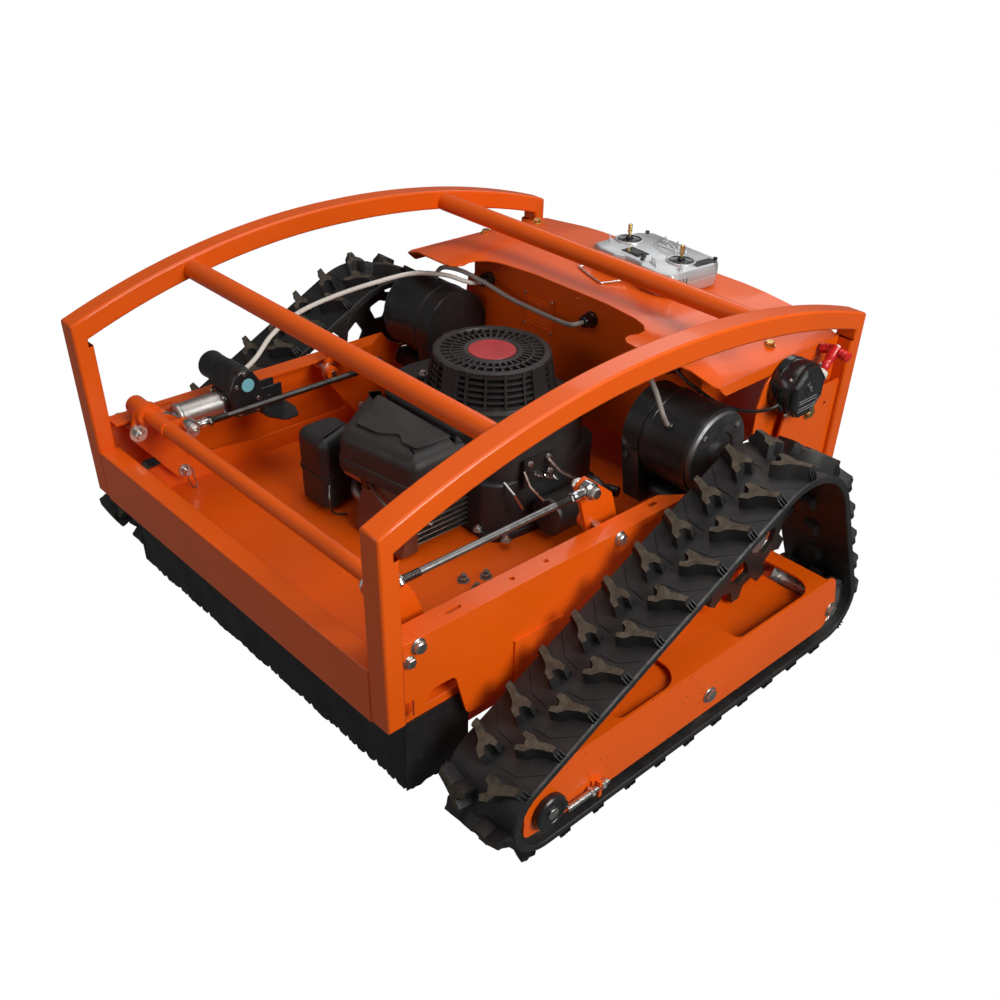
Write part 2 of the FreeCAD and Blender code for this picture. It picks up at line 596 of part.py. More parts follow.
node(plate("side_canister", "XY", [(-200, 276, 20), (-104, 276, 8), (-134, 366, 8), (-200, 366, 20)], 138.0, 206.0), "fuel_canister")
node(cyl("silencer_can", 37, 130, (206, 520, 248), "y"), "silencer")

spin = fuse("spindle", cyl("crank_spindle", 16, 200, ("engine_axis_x", "engine_axis_y", 140), "z"),
            cyl("blade_boss", 28, 12, ("engine_axis_x", "engine_axis_y", 133), "z"))
node(spin, "blade_spindle")
blade = plate("blade_bar", "XY", [(ENG_X - 30, ENG_Y - BLADE_HL), (ENG_X + 30, ENG_Y - BLADE_HL + 12), (ENG_X + 30, ENG_Y + BLADE_HL), (ENG_X - 30, ENG_Y + BLADE_HL - 12)],
              6.0, 126.9, holes=[(ENG_X, ENG_Y - 200, 3), (ENG_X, ENG_Y + 200, 3)])
node(blade, "cutter_blade")

# ---- lift linkage --------------------------------------------------------------------------------
def lever_outline(py):
    # pivot, deck pin, eye: one bent plate
    P0 = (py, PIV_Z)
    D = (py + PIN_DY, PIV_Z + PIN_DZ)
    E = (py + EYE_DY, PIV_Z + EYE_DZ)
    T = (py + TT_DY, PIV_Z + TT_DZ)
    return [(E[0] - 15, E[1] + 6, 9), (E[0] + 6, E[1] + 16, 9), (T[0] + 18, T[1] + 10, 12), (D[0] + 18, D[1] + 2, 10), (D[0] + 6, D[1] - 17, 10),
            (D[0] - 15, D[1] - 8, 10), (P0[0] - 14, P0[1] - 8, 10)]


def lever_outline_low(py):
    # the other side's plate ends at the torque tube
    D = (py + PIN_DY, PIV_Z + PIN_DZ)
    T = (py + TT_DY, PIV_Z + TT_DZ)
    return [(T[0] - 22, T[1] + 4, 14), (T[0] - 4, T[1] + 22, 14), (T[0] + 24, T[1] + 4, 14), (D[0] + 18, D[1] + 2, 10), (D[0] + 6, D[1] - 17, 10),
            (D[0] - 15, D[1] - 8, 10), (py - 14, PIV_Z - 8, 10)]


def lever(name, py, x0, outline=lever_outline):
    return plate(name, "YZ", outline(py), "lever_thickness", x0, holes=[(py, PIV_Z, PIN_R + 0.05)])


lev_r = lever("lever_fr", PIV_Y, "lever_x")
pin_d = cyl("deck_pin", "pin_radius", 26, ("lever_x+lever_thickness", PIV_Y + PIN_DY, PIV_Z + PIN_DZ), "x")
pin_e = cyl("eye_pin", "pin_radius", 19.5, ("lever_x+lever_thickness", PIV_Y + EYE_DY, PIV_Z + EYE_DZ), "x")
boss = cyl("tube_boss", 22, 26, ("lever_x-26", PIV_Y + TT_DY, PIV_Z + TT_DZ), "x")
half = fuse("crank_half", lev_r, pin_d, pin_e, boss)
tube = cyl("torque_tube", "torque_tube_radius", "2*lever_x+42", ("-lever_x-42", PIV_Y + TT_DY, PIV_Z + TT_DZ), "x")
ACT_X, ACT_PY, ACT_PZ = -325.0, 108.0, 363.0
ear1 = plate("ear_a", "YZ", [(78, 356, 3), (78, 382, 3), (104, 378, 6), (119, 366, 6), (113, 351, 6), (98, 352, 4)], 5.0, ACT_X - 15.5)
ear2 = plate("ear_b", "YZ", [(78, 356, 3), (78, 382, 3), (104, 378, 6), (119, 366, 6), (113, 351, 6), (98, 352, 4)], 5.0, ACT_X + 10.5)
ear_pin = cyl("ear_pin", 5, 34, (ACT_X - 17, ACT_PY, ACT_PZ), "x")
LEV_L = "-lever_x-lever_thickness"
lev_l = plate("lever_fl", "YZ", lever_outline_low(PIV_Y), "lever_thickness", LEV_L, holes=[(PIV_Y, PIV_Z, PIN_R + 0.05)])
pin_dl = cyl("deck_pin_l", "pin_radius", 26, ("-lever_x-lever_thickness-26", PIV_Y + PIN_DY, PIV_Z + PIN_DZ), "x")
boss_l = cyl("tube_boss_l", 22, 14, ("-lever_x", PIV_Y + TT_DY, PIV_Z + TT_DZ), "x")
cap_l = cyl("tube_cap_l", 18, 34, ("-lever_x-42", PIV_Y + TT_DY, PIV_Z + TT_DZ), "x")


def link_ear(name, py):
    # short ear welded to a tube, carrying the inner tie rod's pin
    ey, ez = py + LEY, PIV_Z + LEZ
    ty, tz = py + TT_DY, PIV_Z + TT_DZ
    ear = plate(name, "YZ", [(ty - 16, tz - 12, 10), (ty - 16, tz + 14, 10), (ey, ez + 15, 8), (ey + 14, ez + 8, 8), (ey + 14, ez - 10, 8), (ey, ez - 14, 8)], 5.0, -280.0)
    return fuse(name + "_f", ear, cyl(name + "_pin", "pin_radius", 24, (-280, ey, ez), "x"))


LEY = cell("inner_rod_eye_dy", 54)
LEZ = cell("inner_rod_eye_dz", 29)
eye_room = cyl("eye_room", 14.2, 20.8, (ACT_X - 10.4, ACT_PY, ACT_PZ), "x")
crank = fuse("crank_all", cut("crank_cleared", fuse("crank_most", half, lev_l, pin_dl, boss_l, cap_l, tube, ear1, ear2, link_ear("ear_front", PIV_Y)), eye_room), ear_pin)
node(crank, "lift_crank")

lev_rr = lever("lever_rr", PIV_Y + PIV_DY, "lever_x")
pin_d2 = cyl("deck_pin_r", "pin_radius", 26, ("lever_x+lever_thickness", PIV_Y + PIV_DY + PIN_DY, PIV_Z + PIN_DZ), "x")
pin_e2 = cyl("eye_pin_r", "pin_radius", 19.5, ("lever_x+lever_thickness", PIV_Y + PIV_DY + EYE_DY, PIV_Z + EYE_DZ), "x")
stub = cut("pivot_stub", cyl("pivot_stub_o", 13, 16, ("lever_x-16", PIV_Y + PIV_DY, PIV_Z), "x"), cyl("pivot_stub_i", "pin_radius+0.05", 40, ("lever_x-20", PIV_Y + PIV_DY, PIV_Z), "x"))
rc_r = fuse("rear_crank_r", lev_rr, pin_d2, pin_e2, stub)
node(rc_r, "rear_crank_right")
RPY = PIV_Y + PIV_DY
lev_rl = plate("lever_rl", "YZ", lever_outline_low(RPY), "lever_thickness", LEV_L, holes=[(RPY, PIV_Z, PIN_R + 0.05)])
pin_d3 = cyl("deck_pin_rl", "pin_radius", 26, ("-lever_x-lever_thickness-26", RPY + PIN_DY, PIV_Z + PIN_DZ), "x")
stub_l = cut("pivot_stub_l", cyl("pivot_stub_lo", 13, 16, ("-lever_x", RPY, PIV_Z), "x"), cyl("pivot_stub_li", "pin_radius+0.05", 40, ("-lever_x-20", RPY, PIV_Z), "x"))
tube_l = cyl("short_tube_l", "torque_tube_radius", 80, ("-lever_x", RPY + TT_DY, PIV_Z + TT_DZ), "x")
node(fuse("rear_crank_l", lev_rl, pin_d3, stub_l, tube_l, link_ear("ear_rear", RPY)), "rear_crank_left")

# pivot bolts through the side plates
def pivot_bolt(name, py):
    b = cyl(name + "_shank", "pin_radius", 424 - 338, (338, py, "pivot_z"), "x")
    hd = cyl(name + "_head", 10, 7, (422, py, "pivot_z"), "x")
    return fuse(name, b, hd)


pb = [pivot_bolt("pivot_bolt_a", "front_pivot_y"), pivot_bolt("pivot_bolt_b", "front_pivot_y+pivot_spacing")]
node(group("pivot_bolt_set", pb[0], pb[1], mirrored("pivot_bolt_c", pb[0]), mirrored("pivot_bolt_d", pb[1])), "pivot_bolts")

# tie rods: an eye at each end of a threaded rod
def tie(name, x0, w, ey0, ez):
    e1 = cyl(name + "_eye_a", 15, w, (x0, ey0, ez), "x")
    e2 = cyl(name + "_eye_b", 15, w, (x0, ey0 + PIV_DY, ez), "x")
    r = cyl(name + "_rod", 6, "pivot_spacing-20", (x0 + w / 2, ey0 + 10, ez), "y")
    n1 = cyl(name + "_nut_a", 8.5, 30, (x0 + w / 2, ey0 + 12, ez), "y")
    n2 = cyl(name + "_nut_b", 8.5, 30, (x0 + w / 2, ey0 + PIV_DY - 42, ez), "y")
    h1 = cyl(name + "_hole_a", "pin_radius+pin_clearance", 40, (x0 - 8, ey0, ez), "x")
    h2 = cyl(name + "_hole_b", "pin_radius+pin_clearance", 40, (x0 - 8, ey0 + PIV_DY, ez), "x")
    return cut(name, fuse(name + "_f", e1, e2, r, n1, n2), h1, h2)


node(tie("tie_r", LEVER_X + LEVER_T + 0.5, 18.0, PIV_Y + EYE_DY, PIV_Z + EYE_DZ), "tie_rod_right")
node(tie("tie_l", -274.5, 17.5, PIV_Y + LEY, PIV_Z + LEZ), "tie_rod_left")

# ---- actuator ------------------------------------------------------------------------------------------
APY, APZ = 300.0, 350.0
act_tube = cyl("act_cyl_o", 22, 125, (ACT_X, 121, 363), "y")
act_bore = cyl("act_cyl_i", 9.3, 124, (ACT_X, 110, 363), "y")
act_gear = plate("act_gearbox", "YZ", [(222, 343, 8), (268, 343, 8), (272, 400, 20), (252, 428, 16), (222, 428, 16), (212, 396, 10)], 64.0, ACT_X - 20)
act_neck = box("act_neck", (22, 52, 24), (ACT_X - 11, 262, 338))
act_hole = cyl("act_rear_hole", 6.35, 40, (ACT_X - 20, APY, APZ), "x")
act = cut("actuator_all", fuse("actuator_f", act_tube, act_gear, act_neck, cyl("act_motor_m", 26, 60, (ACT_X - 78, 240, 402), "x")), act_hole, act_bore)
node(act, "actuator")
rod = cut("act_rod_c", fuse("act_rod_f", cyl("act_rod", 9, 121, (ACT_X, 110, 363), "y"), cyl("act_eye", 10.6, 20, (ACT_X - 10, ACT_PY, ACT_PZ), "x")),
          cyl("act_eye_hole", 8.2, 40, (ACT_X - 20, ACT_PY, ACT_PZ), "x"))
node(rod, "actuator_rod")
brk_a = box("brk_plate", (4, 90, 39.7), (-418, 270, 306))
brk_shelf = box("brk_shelf", (128, 60, 4), (-418, 282, 322))
brk_c1 = box("brk_cheek_a", (4, 44, 46), (ACT_X - 11 - 5, 284, 326))
brk_c2 = box("brk_cheek_b", (4, 44, 46), (ACT_X + 11 + 1, 284, 326))
brk_pin = cyl("brk_pin", 6, 38, (ACT_X - 19, APY, APZ), "x")
brk_wing = plate("brk_wing", "XY", [(-292, 282), (-262, 300, 8), (-262, 330, 8), (-292, 342)], 4.0, 322.0)
node(fuse("bracket_all", brk_a, brk_shelf, brk_c1, brk_c2, brk_pin, brk_wing), "actuator_bracket")

# ---- control box ------------------------------------------------------------------------------------------
cb_o = box("cbox_o", ("2*box_half_width", "box_rear-box_front", "lid_top-3-box_bottom"), ("-box_half_width", "box_front", "box_bottom"))
cb_i = box("cbox_i", ("2*box_half_width-6", "box_rear-box_front-6", "lid_top-box_bottom"), ("-box_half_width+3", "box_front+3", "box_bottom+3"))
gl = [(-252, 481), (32, 488), (236, 470)]
gland_holes = [cyl("gland_hole", 9, 20, (gx, 788, gz), "y") for gx, gz in gl]
vent_holes = [box("vent_slot", (56, 12, 2.6), (-136, 790, 432 + 6.5 * k)) for k in range(7)]
stay = [box("box_stay", (418 - 300, 40, 3), (300, 1002, 400)), box("box_stay", (418 - 300, 40, 3), (-418, 1002, 400))]
over = [Vector(-310, 780 - YO, 534.0), Vector(-235, 780 - YO, 539.2), Vector(-185, 780 - YO, 541.7), Vector(185, 780 - YO, 541.7), Vector(235, 780 - YO, 539.2), Vector(310, 780 - YO, 531.7),
        Vector(310, 780 - YO, 600), Vector(-310, 780 - YO, 600)]
over[0] = Vector(-310, 780 - YO, 531.7)
lid_room = feature("lid_room", Part.Face(Part.makePolygon(over + [over[0]])).extrude(Vector(0, 300, 0)))
node(cut("control_case", cb_o, cb_i, lid_room, *(gland_holes + vent_holes)), "control_box")
stays = plate("stay_shelf", "XY", [(300, 800), (396, 800, 10), (396, 1045.5), (300, 1045.5)], 3.0, 300.0)
glands = []
for gx, gz in gl:
    g = fuse("gland", cyl("gland_body", 8.8, 8, (gx, 793, gz), "y"), cyl("gland_nut", 14, 14, (gx, 781, gz), "y"), cyl("gland_neck", 11, 14, (gx, 767, gz), "y"))
    glands.append(cut("gland_bored", g, cyl("gland_bore", 5.2, 50, (gx, 760, gz), "y")))
node(group("gland_set", *glands), "cable_glands")
batt = [box("battery", (181, 120, 150), (-205, 880, 288)), box("battery", (181, 120, 150), (24, 880, 288))]
node(group("battery_set", *batt), "batteries")
node(box("controller_case", (190, 50, 120), (-95, 812, 288)), "motor_controller")

# cross section of the lid's sheet, and its outline seen from above
LID_SEC = [(0.0, LID_Z), (185.0, LID_Z), (235.0, 542.5), (350.0, 531.0), (402.0, 513.0)]


def lid_sheet():
    up = [Vector(-x, 0, z) for x, z in reversed(LID_SEC)] + [Vector(x, 0, z) for x, z in LID_SEC[1:]]
    dn = [v - Vector(0, 0, 3.0) for v in reversed(up)]
    band = Part.Face(Part.makePolygon(up + dn + [up[0]])).extrude(Vector(0, 420, 0))
    band.translate(Vector(0, 640 - YO, 0))
    half = [(402, 1045.5), (402, 706), (392, 697), (300, 678), (244, 668), (228, 668), (216, 676), (212, 690), (218, 708), (216, 726), (200, 742), (170, 752), (90, 762)]
    pts = [Vector(x, y - YO, 0) for x, y in half] + [Vector(-x, y - YO, 0) for x, y in reversed(half)]
    plan = Part.Face(Part.makePolygon(pts + [pts[0]])).extrude(Vector(0, 0, 900))
    return band.common(plan)


lip_pts = [(712, 515), (1045.5, 515), (1045.5, 494), (722, 494, 8), (706, 508)]
lid = fuse("control_lid_f", feature("lid_sheet_f", lid_sheet()), plate("lid_lip_r", "YZ", lip_pts, 3.0, 399.0), plate("lid_lip_l", "YZ", lip_pts, 3.0, -402.0))
node(lid, "control_lid")

# ---- transmitter on the lid -----------------------------------------------------------------------------------
tcx, tcy = 52.0, 939.0
tang = -5.0
STICKS = (-80.0, 60.0)   # the gimbals' places along the case


def tx_place(obj):
    obj.Placement = Placement(Vector(tcx, tcy - YO, LID_Z), Rotation(Vector(0, 0, 1), tang))
    return obj


def tx_body():
    hl, hw = TX_L / 2, TX_W / 2
    pts = [(-hl, -hw + 12), (-hl + 30, -hw), (-30, -hw), (-14, -hw + 12), (14, -hw + 12), (30, -hw), (hl - 30, -hw), (hl, -hw + 12), (hl, hw - 30), (hl - 22, hw), (-hl + 22, hw), (-hl, hw - 30)]
    w = Part.makePolygon([Vector(a, b, 0) for a, b in pts] + [Vector(pts[0][0], pts[0][1], 0)])
    s = Part.Face(w).extrude(Vector(0, 0, TX_T))
    for gx in STICKS:
        s = s.cut(Part.makeCylinder(22, 14, Vector(gx, 4, TX_T - 13)))
        s = s.cut(Part.makeCylinder(2.6, 52, Vector(gx - 26, 4, TX_T - 3.7), Vector(1, 0, 0)))
    return s


node(tx_place(feature("tx_case", tx_body())), "transmitter_case")
for nm, gx in (("left", STICKS[0]), ("right", STICKS[1])):
    b = Part.makeSphere(9, Vector(gx, 4, TX_T - 13 + 9.3))
    st = Part.makeCylinder(3.2, 24, Vector(gx, 4, TX_T - 2))
    kn = Part.makeCylinder(4.5, 10, Vector(gx, 4, TX_T + 14))
    pin = Part.makeCylinder(2.5, 50, Vector(gx - 25, 4, TX_T - 3.7), Vector(1, 0, 0))
    s = b.fuse(st).fuse(kn).fuse(pin)
    node(tx_place(feature("tx_stick_" + nm, s)), "stick_" + nm)
    c = Placement(Vector(tcx, tcy, LID_Z), Rotation(Vector(0, 0, 1), tang)).multVec(Vector(gx, 4, TX_T - 3.7))
    print("stick", nm, "pivot station", round(c.x, 3), round(c.y, 3), round(c.z, 3))

# ---- recoil starter on its bracket ---------------------------------------------------------------------------------
rb = plate("recoil_plate", "YZ", [(820, 360, 10), (1020, 360, 10), (1045.5, 400), (1045.5, 494), (836, 494, 30), (820, 440, 20)], 4.0, 400.0,
           holes=[(890, 470, 12)])
rb_foot = box("recoil_foot", (18, 60, 4), (400, 970, 378))
node(fuse("recoil_bracket_f", rb, rb_foot), "recoil_bracket")
PULL = Vector(0, math.cos(math.radians(45)), math.sin(math.radians(45)))   # along the handle's neck
HX, HY, HZ = 434.0, 957.0, 484.0
spout = cyl("recoil_spout", 13, 60, (HX, HY - 0.3 * PULL.y - 60 * PULL.y, HZ - 0.3 * PULL.z - 60 * PULL.z), PULL)
rh = fuse("recoil_can", cyl("recoil_drum", 50, 44, (404, 890, 470), "x"), cyl("recoil_face", 42, 10, (448, 890, 470), "x"), spout)
rh_c = cut("recoil_bored", rh, cyl("rope_hole", 4.2, 40, (HX, HY - 30 * PULL.y, HZ - 30 * PULL.z), PULL))
node(rh_c, "recoil_housing")
handle = fuse("handle_f", cyl("handle_neck", 8, 46, (HX, HY, HZ), PULL),
              cyl("handle_bar", 9, 60, (HX - 29, HY + 42 * PULL.y, HZ + 42 * PULL.z - 3), "x"))
node(handle, "pull_handle")

# ---- cables held by the machine --------------------------------------------------------------------------------------
def tube_path(name, pts, r, rad=None):
    vs = [Vector(x, y - YO, z) for x, y, z in pts]
    n = len(vs)
    edges = []
    cur = vs[0]
    radii = []
    for i in range(1, n - 1):
        a = vs[i - 1] - vs[i]
        b = vs[i + 1] - vs[i]
        la, lb = a.Length, b.Length
        a.normalize()
        b.normalize()
        turn = math.pi - math.acos(max(-1, min(1, a.dot(b))))
        d = 0.45 * min(la, lb)
        rr = d / math.tan(turn / 2)
        radii.append(round(rr, 1))
        half = (math.pi - turn) / 2
        m = a + b
        m.normalize()
        c = vs[i] + m * (rr / math.sin(half))
        p1 = vs[i] + a * d
        p2 = vs[i] + b * d
        pm = c - m * rr
        edges.append(Part.LineSegment(cur, p1).toShape())
        edges.append(Part.Arc(p1, pm, p2).toShape())
        cur = p2
    edges.append(Part.LineSegment(cur, vs[-1]).toShape())
    w = Part.Wire(edges)
    t = vs[1] - vs[0]
    prof = Part.Wire(Part.makeCircle(r, vs[0], t))
    s = w.makePipeShell([prof], True, True)
    print(name, "length %.0f" % w.Length, "radii", radii, "volume ratio %.4f" % (s.Volume / (math.pi * r * r * w.Length)))
    return s


lift_cable = tube_path("lift cable", [(-352, 273, 392), (-372, 318, 402), (-398, 372, 424), (-410, 440, 446), (-404, 520, 462), (-380, 600, 478), (-345, 670, 492), (-296, 712, 494), (-262, 736, 486), (-252, 752, 481), (-252, 799, 481)], 4.5)
rm_cable = tube_path("right motor cable", [(236, 799, 470), (236, 752, 470), (240, 726, 474), (256, 700, 486), (282, 672, 492), (318, 650, 484), (342, 640, 466), (346, 640, 457), (346, 652.5, 442.2)], 4.5)
lm_cable = tube_path("left motor cable", [(32, 799, 488), (32, 753, 488), (12, 751, 482), (-24, 757, 477), (-90, 763, 474), (-160, 762, 477), (-220, 754, 490), (-272, 738, 503), (-312, 724, 504), (-328, 720, 494), (-330, 719.5, 472.4)], 4.5)
recoil_cable = tube_path("recoil cable", [(430, 842, 452), (420, 824, 444), (396, 800, 440), (360, 776, 446), (322, 760, 462), (280, 756, 478), (236, 760, 500), (190, 770, 516)], 3)
cab = feature("cable_set", Part.Compound([lift_cable, rm_cable, lm_cable, recoil_cable]))
node(cab, "control_cables")

# ---- visible fasteners ----------------------------------------------------------------------------------------------------
def hexbolt(name, base, r, h_head, shank, axis_x=1):
    x, y, z = base
    pts = [Vector(0, r * math.cos(math.radians(60 * k)), r * math.sin(math.radians(60 * k))) for k in range(6)]
    f = Part.Face(Part.makePolygon(pts + [pts[0]]))
    s = f.extrude(Vector(h_head * axis_x, 0, 0))
    s = s.fuse(Part.makeCylinder(r * 1.15, 1.5, Vector(0, 0, 0), Vector(axis_x, 0, 0)))
    if shank:
        s = s.fuse(Part.makeCylinder(r * 0.5, shank, Vector(0, 0, 0), Vector(-axis_x, 0, 0)))
    s.translate(Vector(x, y - YO, z))
    return s


zinc = []
for sx in (1, -1):
    for (y, z) in ((404, 230), (560, 236)):
        zinc.append(hexbolt("z", (sx * 422.0, y, z), 7.5, 6, 8, sx))
node(feature("zinc_set", Part.Compound(zinc)), "plate_bolts")
brass = []
for sx in (1, -1):
    brass.append(hexbolt("b", (sx * 422.0, 960, 398), 11, 8, 7, sx))
node(feature("brass_set", Part.Compound(brass)), "anchor_bolts")

# ---- check and write ---------------------------------------------------------------------------------------------------------
doc.recompute()
bad = [o.Name for o in doc.Objects if any(s in ("Invalid", "Error") for s in o.State)]
if bad:
    raise RuntimeError("failed objects: " + ", ".join(bad))
os.makedirs("parts", exist_ok=True)
for f in os.listdir("parts"):
    if f.endswith(".step") and f[:-5] not in NODES:
        os.remove(os.path.join("parts", f))
for name, obj in sorted(NODES.items()):
    s = obj.Shape
    if s.isNull() or not s.isValid():
        raise RuntimeError("bad shape: " + name)
    if not s.Solids:
        raise RuntimeError("no solid: " + name)
    s.exportStep(os.path.join("parts", name + ".step"))
    b = s.BoundBox
    print("%-18s solids %2d vol %10.0f  x %7.1f %7.1f  y %7.1f %7.1f  z %6.1f %6.1f" % (name, len(s.Solids), s.Volume, b.XMin, b.XMax, b.YMin + YO, b.YMax + YO, b.ZMin, b.ZMax))
print(len(NODES), "nodes")
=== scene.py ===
import math
import json
import random
import bpy
import bmesh
import numpy as np
from mathutils import Vector, Matrix, Quaternion


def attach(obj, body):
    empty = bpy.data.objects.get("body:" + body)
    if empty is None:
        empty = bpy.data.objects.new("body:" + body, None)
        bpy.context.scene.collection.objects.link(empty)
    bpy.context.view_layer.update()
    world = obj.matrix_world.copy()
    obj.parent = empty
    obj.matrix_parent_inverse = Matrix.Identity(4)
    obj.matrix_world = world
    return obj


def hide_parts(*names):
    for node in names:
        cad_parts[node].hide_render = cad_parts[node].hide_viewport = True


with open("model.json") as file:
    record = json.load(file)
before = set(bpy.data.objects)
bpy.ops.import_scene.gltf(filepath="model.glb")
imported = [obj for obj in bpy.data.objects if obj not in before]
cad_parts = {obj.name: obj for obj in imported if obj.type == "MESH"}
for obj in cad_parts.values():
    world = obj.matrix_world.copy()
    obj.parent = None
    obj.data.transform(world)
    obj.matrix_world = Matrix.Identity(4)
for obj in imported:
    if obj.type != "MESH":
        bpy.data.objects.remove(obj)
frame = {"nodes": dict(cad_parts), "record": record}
NODE = frame["nodes"]
RECORD = frame["record"]
NODE_BODY = {n: b for b, ns in RECORD["behaviour"]["bodies"].items() for n in ns}
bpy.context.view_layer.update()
Y0 = 0.539                     # station 0 (front face of the cage posts) is at y = -Y0
random.seed(7)


def P(x, y, z):
    """millimetres, y as a station behind the front posts -> metres in the row frame"""
    return Vector((x / 1000.0, y / 1000.0 - Y0, z / 1000.0))


# ------------------------------------------------------------------ camera
def make_camera():
    az, el, roll = math.radians(44.06), math.radians(36.57), math.radians(3.12)
    back = Vector((math.sin(az) * math.cos(el), -math.cos(az) * math.cos(el), math.sin(el)))
    fwd = -back
    right = fwd.cross(Vector((0, 0, 1))).normalized()
    up = right.cross(fwd)
    r2 = right * math.cos(roll) + up * math.sin(roll)
    u2 = -right * math.sin(roll) + up * math.cos(roll)
    m = Matrix((r2, u2, back)).transposed().to_4x4()
    cam = bpy.data.cameras.new("camera")
    cam.sensor_width = 36.0
    cam.sensor_fit = "HORIZONTAL"
    cam.lens = 36.0 * 1.06901
    cam.shift_x = -0.04036
    cam.shift_y = 0.0933
    cam.clip_start = 0.05
    cam.clip_end = 60
    ob = bpy.data.objects.new("camera", cam)
    bpy.context.scene.collection.objects.link(ob)
    m.translation = Vector((1.30991, -0.62412 - Y0, 1.26081))
    ob.matrix_world = m
    bpy.context.scene.camera = ob
    return ob


CAM = make_camera()


# ------------------------------------------------------------------ materials
class Nodes:
    def __init__(self, name):
        m = bpy.data.materials.new(name)
        m.use_nodes = True
        self.m = m
        self.t = m.node_tree
        self.t.nodes.clear()
        self.out = self.t.nodes.new("ShaderNodeOutputMaterial")
        self.b = self.t.nodes.new("ShaderNodeBsdfPrincipled")
        self.t.links.new(self.b.outputs[0], self.out.inputs[0])
        self.tc = self.t.nodes.new("ShaderNodeTexCoord")

    def new(self, kind, **k):
        n = self.t.nodes.new(kind)
        for a, v in k.items():
            setattr(n, a, v)
        return n

    def link(self, a, b):
        self.t.links.new(a, b)

    def noise(self, scale, detail=4, rough=0.55, vec=None, dist=0.0):
        n = self.new("ShaderNodeTexNoise")
        n.inputs["Scale"].default_value = scale
        n.inputs["Detail"].default_value = detail
        n.inputs["Roughness"].default_value = rough
        n.inputs["Distortion"].default_value = dist
        self.link(vec if vec is not None else self.tc.outputs["Object"], n.inputs["Vector"])
        return n.outputs["Fac"]

    def voronoi(self, scale, feature="F1", vec=None):
        n = self.new("ShaderNodeTexVoronoi", feature=feature)
        n.inputs["Scale"].default_value = scale
        self.link(vec if vec is not None else self.tc.outputs["Object"], n.inputs["Vector"])
        return n.outputs["Distance"]

    def ramp(self, fac, stops):
        n = self.new("ShaderNodeValToRGB")
        cr = n.color_ramp
        while len(cr.elements) < len(stops):
            cr.elements.new(0.5)
        for e, (p, c) in zip(cr.elements, stops):
            e.position = p
            if isinstance(c, (int, float)):
                c = (c, c, c)
            e.color = (c[0], c[1], c[2], 1)
        self.link(fac, n.inputs["Fac"])
        return n.outputs["Color"]

    def mix(self, fac, a, b, mode="MIX"):
        n = self.new("ShaderNodeMix", data_type="RGBA", blend_type=mode)
        for sock, v in ((n.inputs[0], fac), (n.inputs[6], a), (n.inputs[7], b)):
            if isinstance(v, (int, float)):
                if sock is n.inputs[0]:
                    sock.default_value = v
                else:
                    sock.default_value = (v, v, v, 1)
            elif isinstance(v, (tuple, list)):
                sock.default_value = (v[0], v[1], v[2], 1)
            else:
                self.link(v, sock)
        return n.outputs[2]

    def math(self, op, a, b=None):
        n = self.new("ShaderNodeMath", operation=op)
        for i, v in enumerate((a, b)):
            if v is None:
                continue
            if isinstance(v, (int, float)):
                n.inputs[i].default_value = v
            else:
                self.link(v, n.inputs[i])
        return n.outputs[0]

    def bump(self, height, strength=0.2, distance=0.001):
        n = self.new("ShaderNodeBump")
        n.inputs["Strength"].default_value = strength
        n.inputs["Distance"].default_value = distance
        self.link(height, n.inputs["Height"])
        self.link(n.outputs[0], self.b.inputs["Normal"])
        return n

    def set(self, **k):
        names = {"metal": "Metallic", "rough": "Roughness", "coat": "Coat Weight", "coat_rough": "Coat Roughness",
                 "spec": "Specular IOR Level", "color": "Base Color", "sheen": "Sheen Weight"}
        for a, v in k.items():
            s = self.b.inputs[names[a]]
            if isinstance(v, (int, float)):
                s.default_value = v
            elif isinstance(v, (tuple, list)):
                s.default_value = (v[0], v[1], v[2], 1)
            else:
                self.link(v, s)
        return self

    def height_z(self):
        g = self.new("ShaderNodeNewGeometry")
        s = self.new("ShaderNodeSeparateXYZ")
        self.link(g.outputs["Position"], s.inputs[0])
        return s.outputs[2]

    def pointiness(self):
        g = self.new("ShaderNodeNewGeometry")
        return g.outputs["Pointiness"]


def mat_orange(name="orange_coat", dirt=0.0, base=(0.80, 0.103, 0.0012)):
    k = Nodes(name)
    big = k.noise(3.5, 3)
    col = k.mix(k.ramp(big, [(0.3, 0.0), (0.7, 1.0)]), tuple(c * 0.93 for c in base), tuple(min(1, c * 1.05) for c in base))
    fine = k.noise(900, 2)
    if dirt > 0:
        spk = k.voronoi(95)
        pick = k.noise(14, 3)
        m1 = k.ramp(spk, [(0.10, 1.0), (0.16, 0.0)])
        m2 = k.ramp(pick, [(0.52, 0.0), (0.60, 1.0)])
        m = k.math("MULTIPLY", m1, m2)
        m = k.math("MULTIPLY", m, dirt)
        col = k.mix(m, col, (0.05, 0.02, 0.012))
    k.set(color=col, rough=k.ramp(big, [(0.2, 0.36), (0.8, 0.44)]), coat=0.30, coat_rough=0.07, spec=0.35)
    peel = k.noise(160, 2)
    k.bump(k.math("ADD", k.math("MULTIPLY", peel, 0.8), k.math("MULTIPLY", fine, 0.2)), 0.08, 0.0006)
    return k.m


def mat_rubber(name="rubber", land=False):
    k = Nodes(name)
    n1 = k.noise(26, 5)
    col = k.ramp(n1, [(0.25, (0.010, 0.010, 0.0105)), (0.6, (0.020, 0.0195, 0.019)), (0.85, (0.034, 0.031, 0.028))])
    k.set(color=col, rough=k.ramp(k.noise(60, 3), [(0.3, 0.42), (0.7, 0.62)]), spec=0.4)
    k.bump(k.noise(420, 4), 0.25, 0.0008)
    return k.m


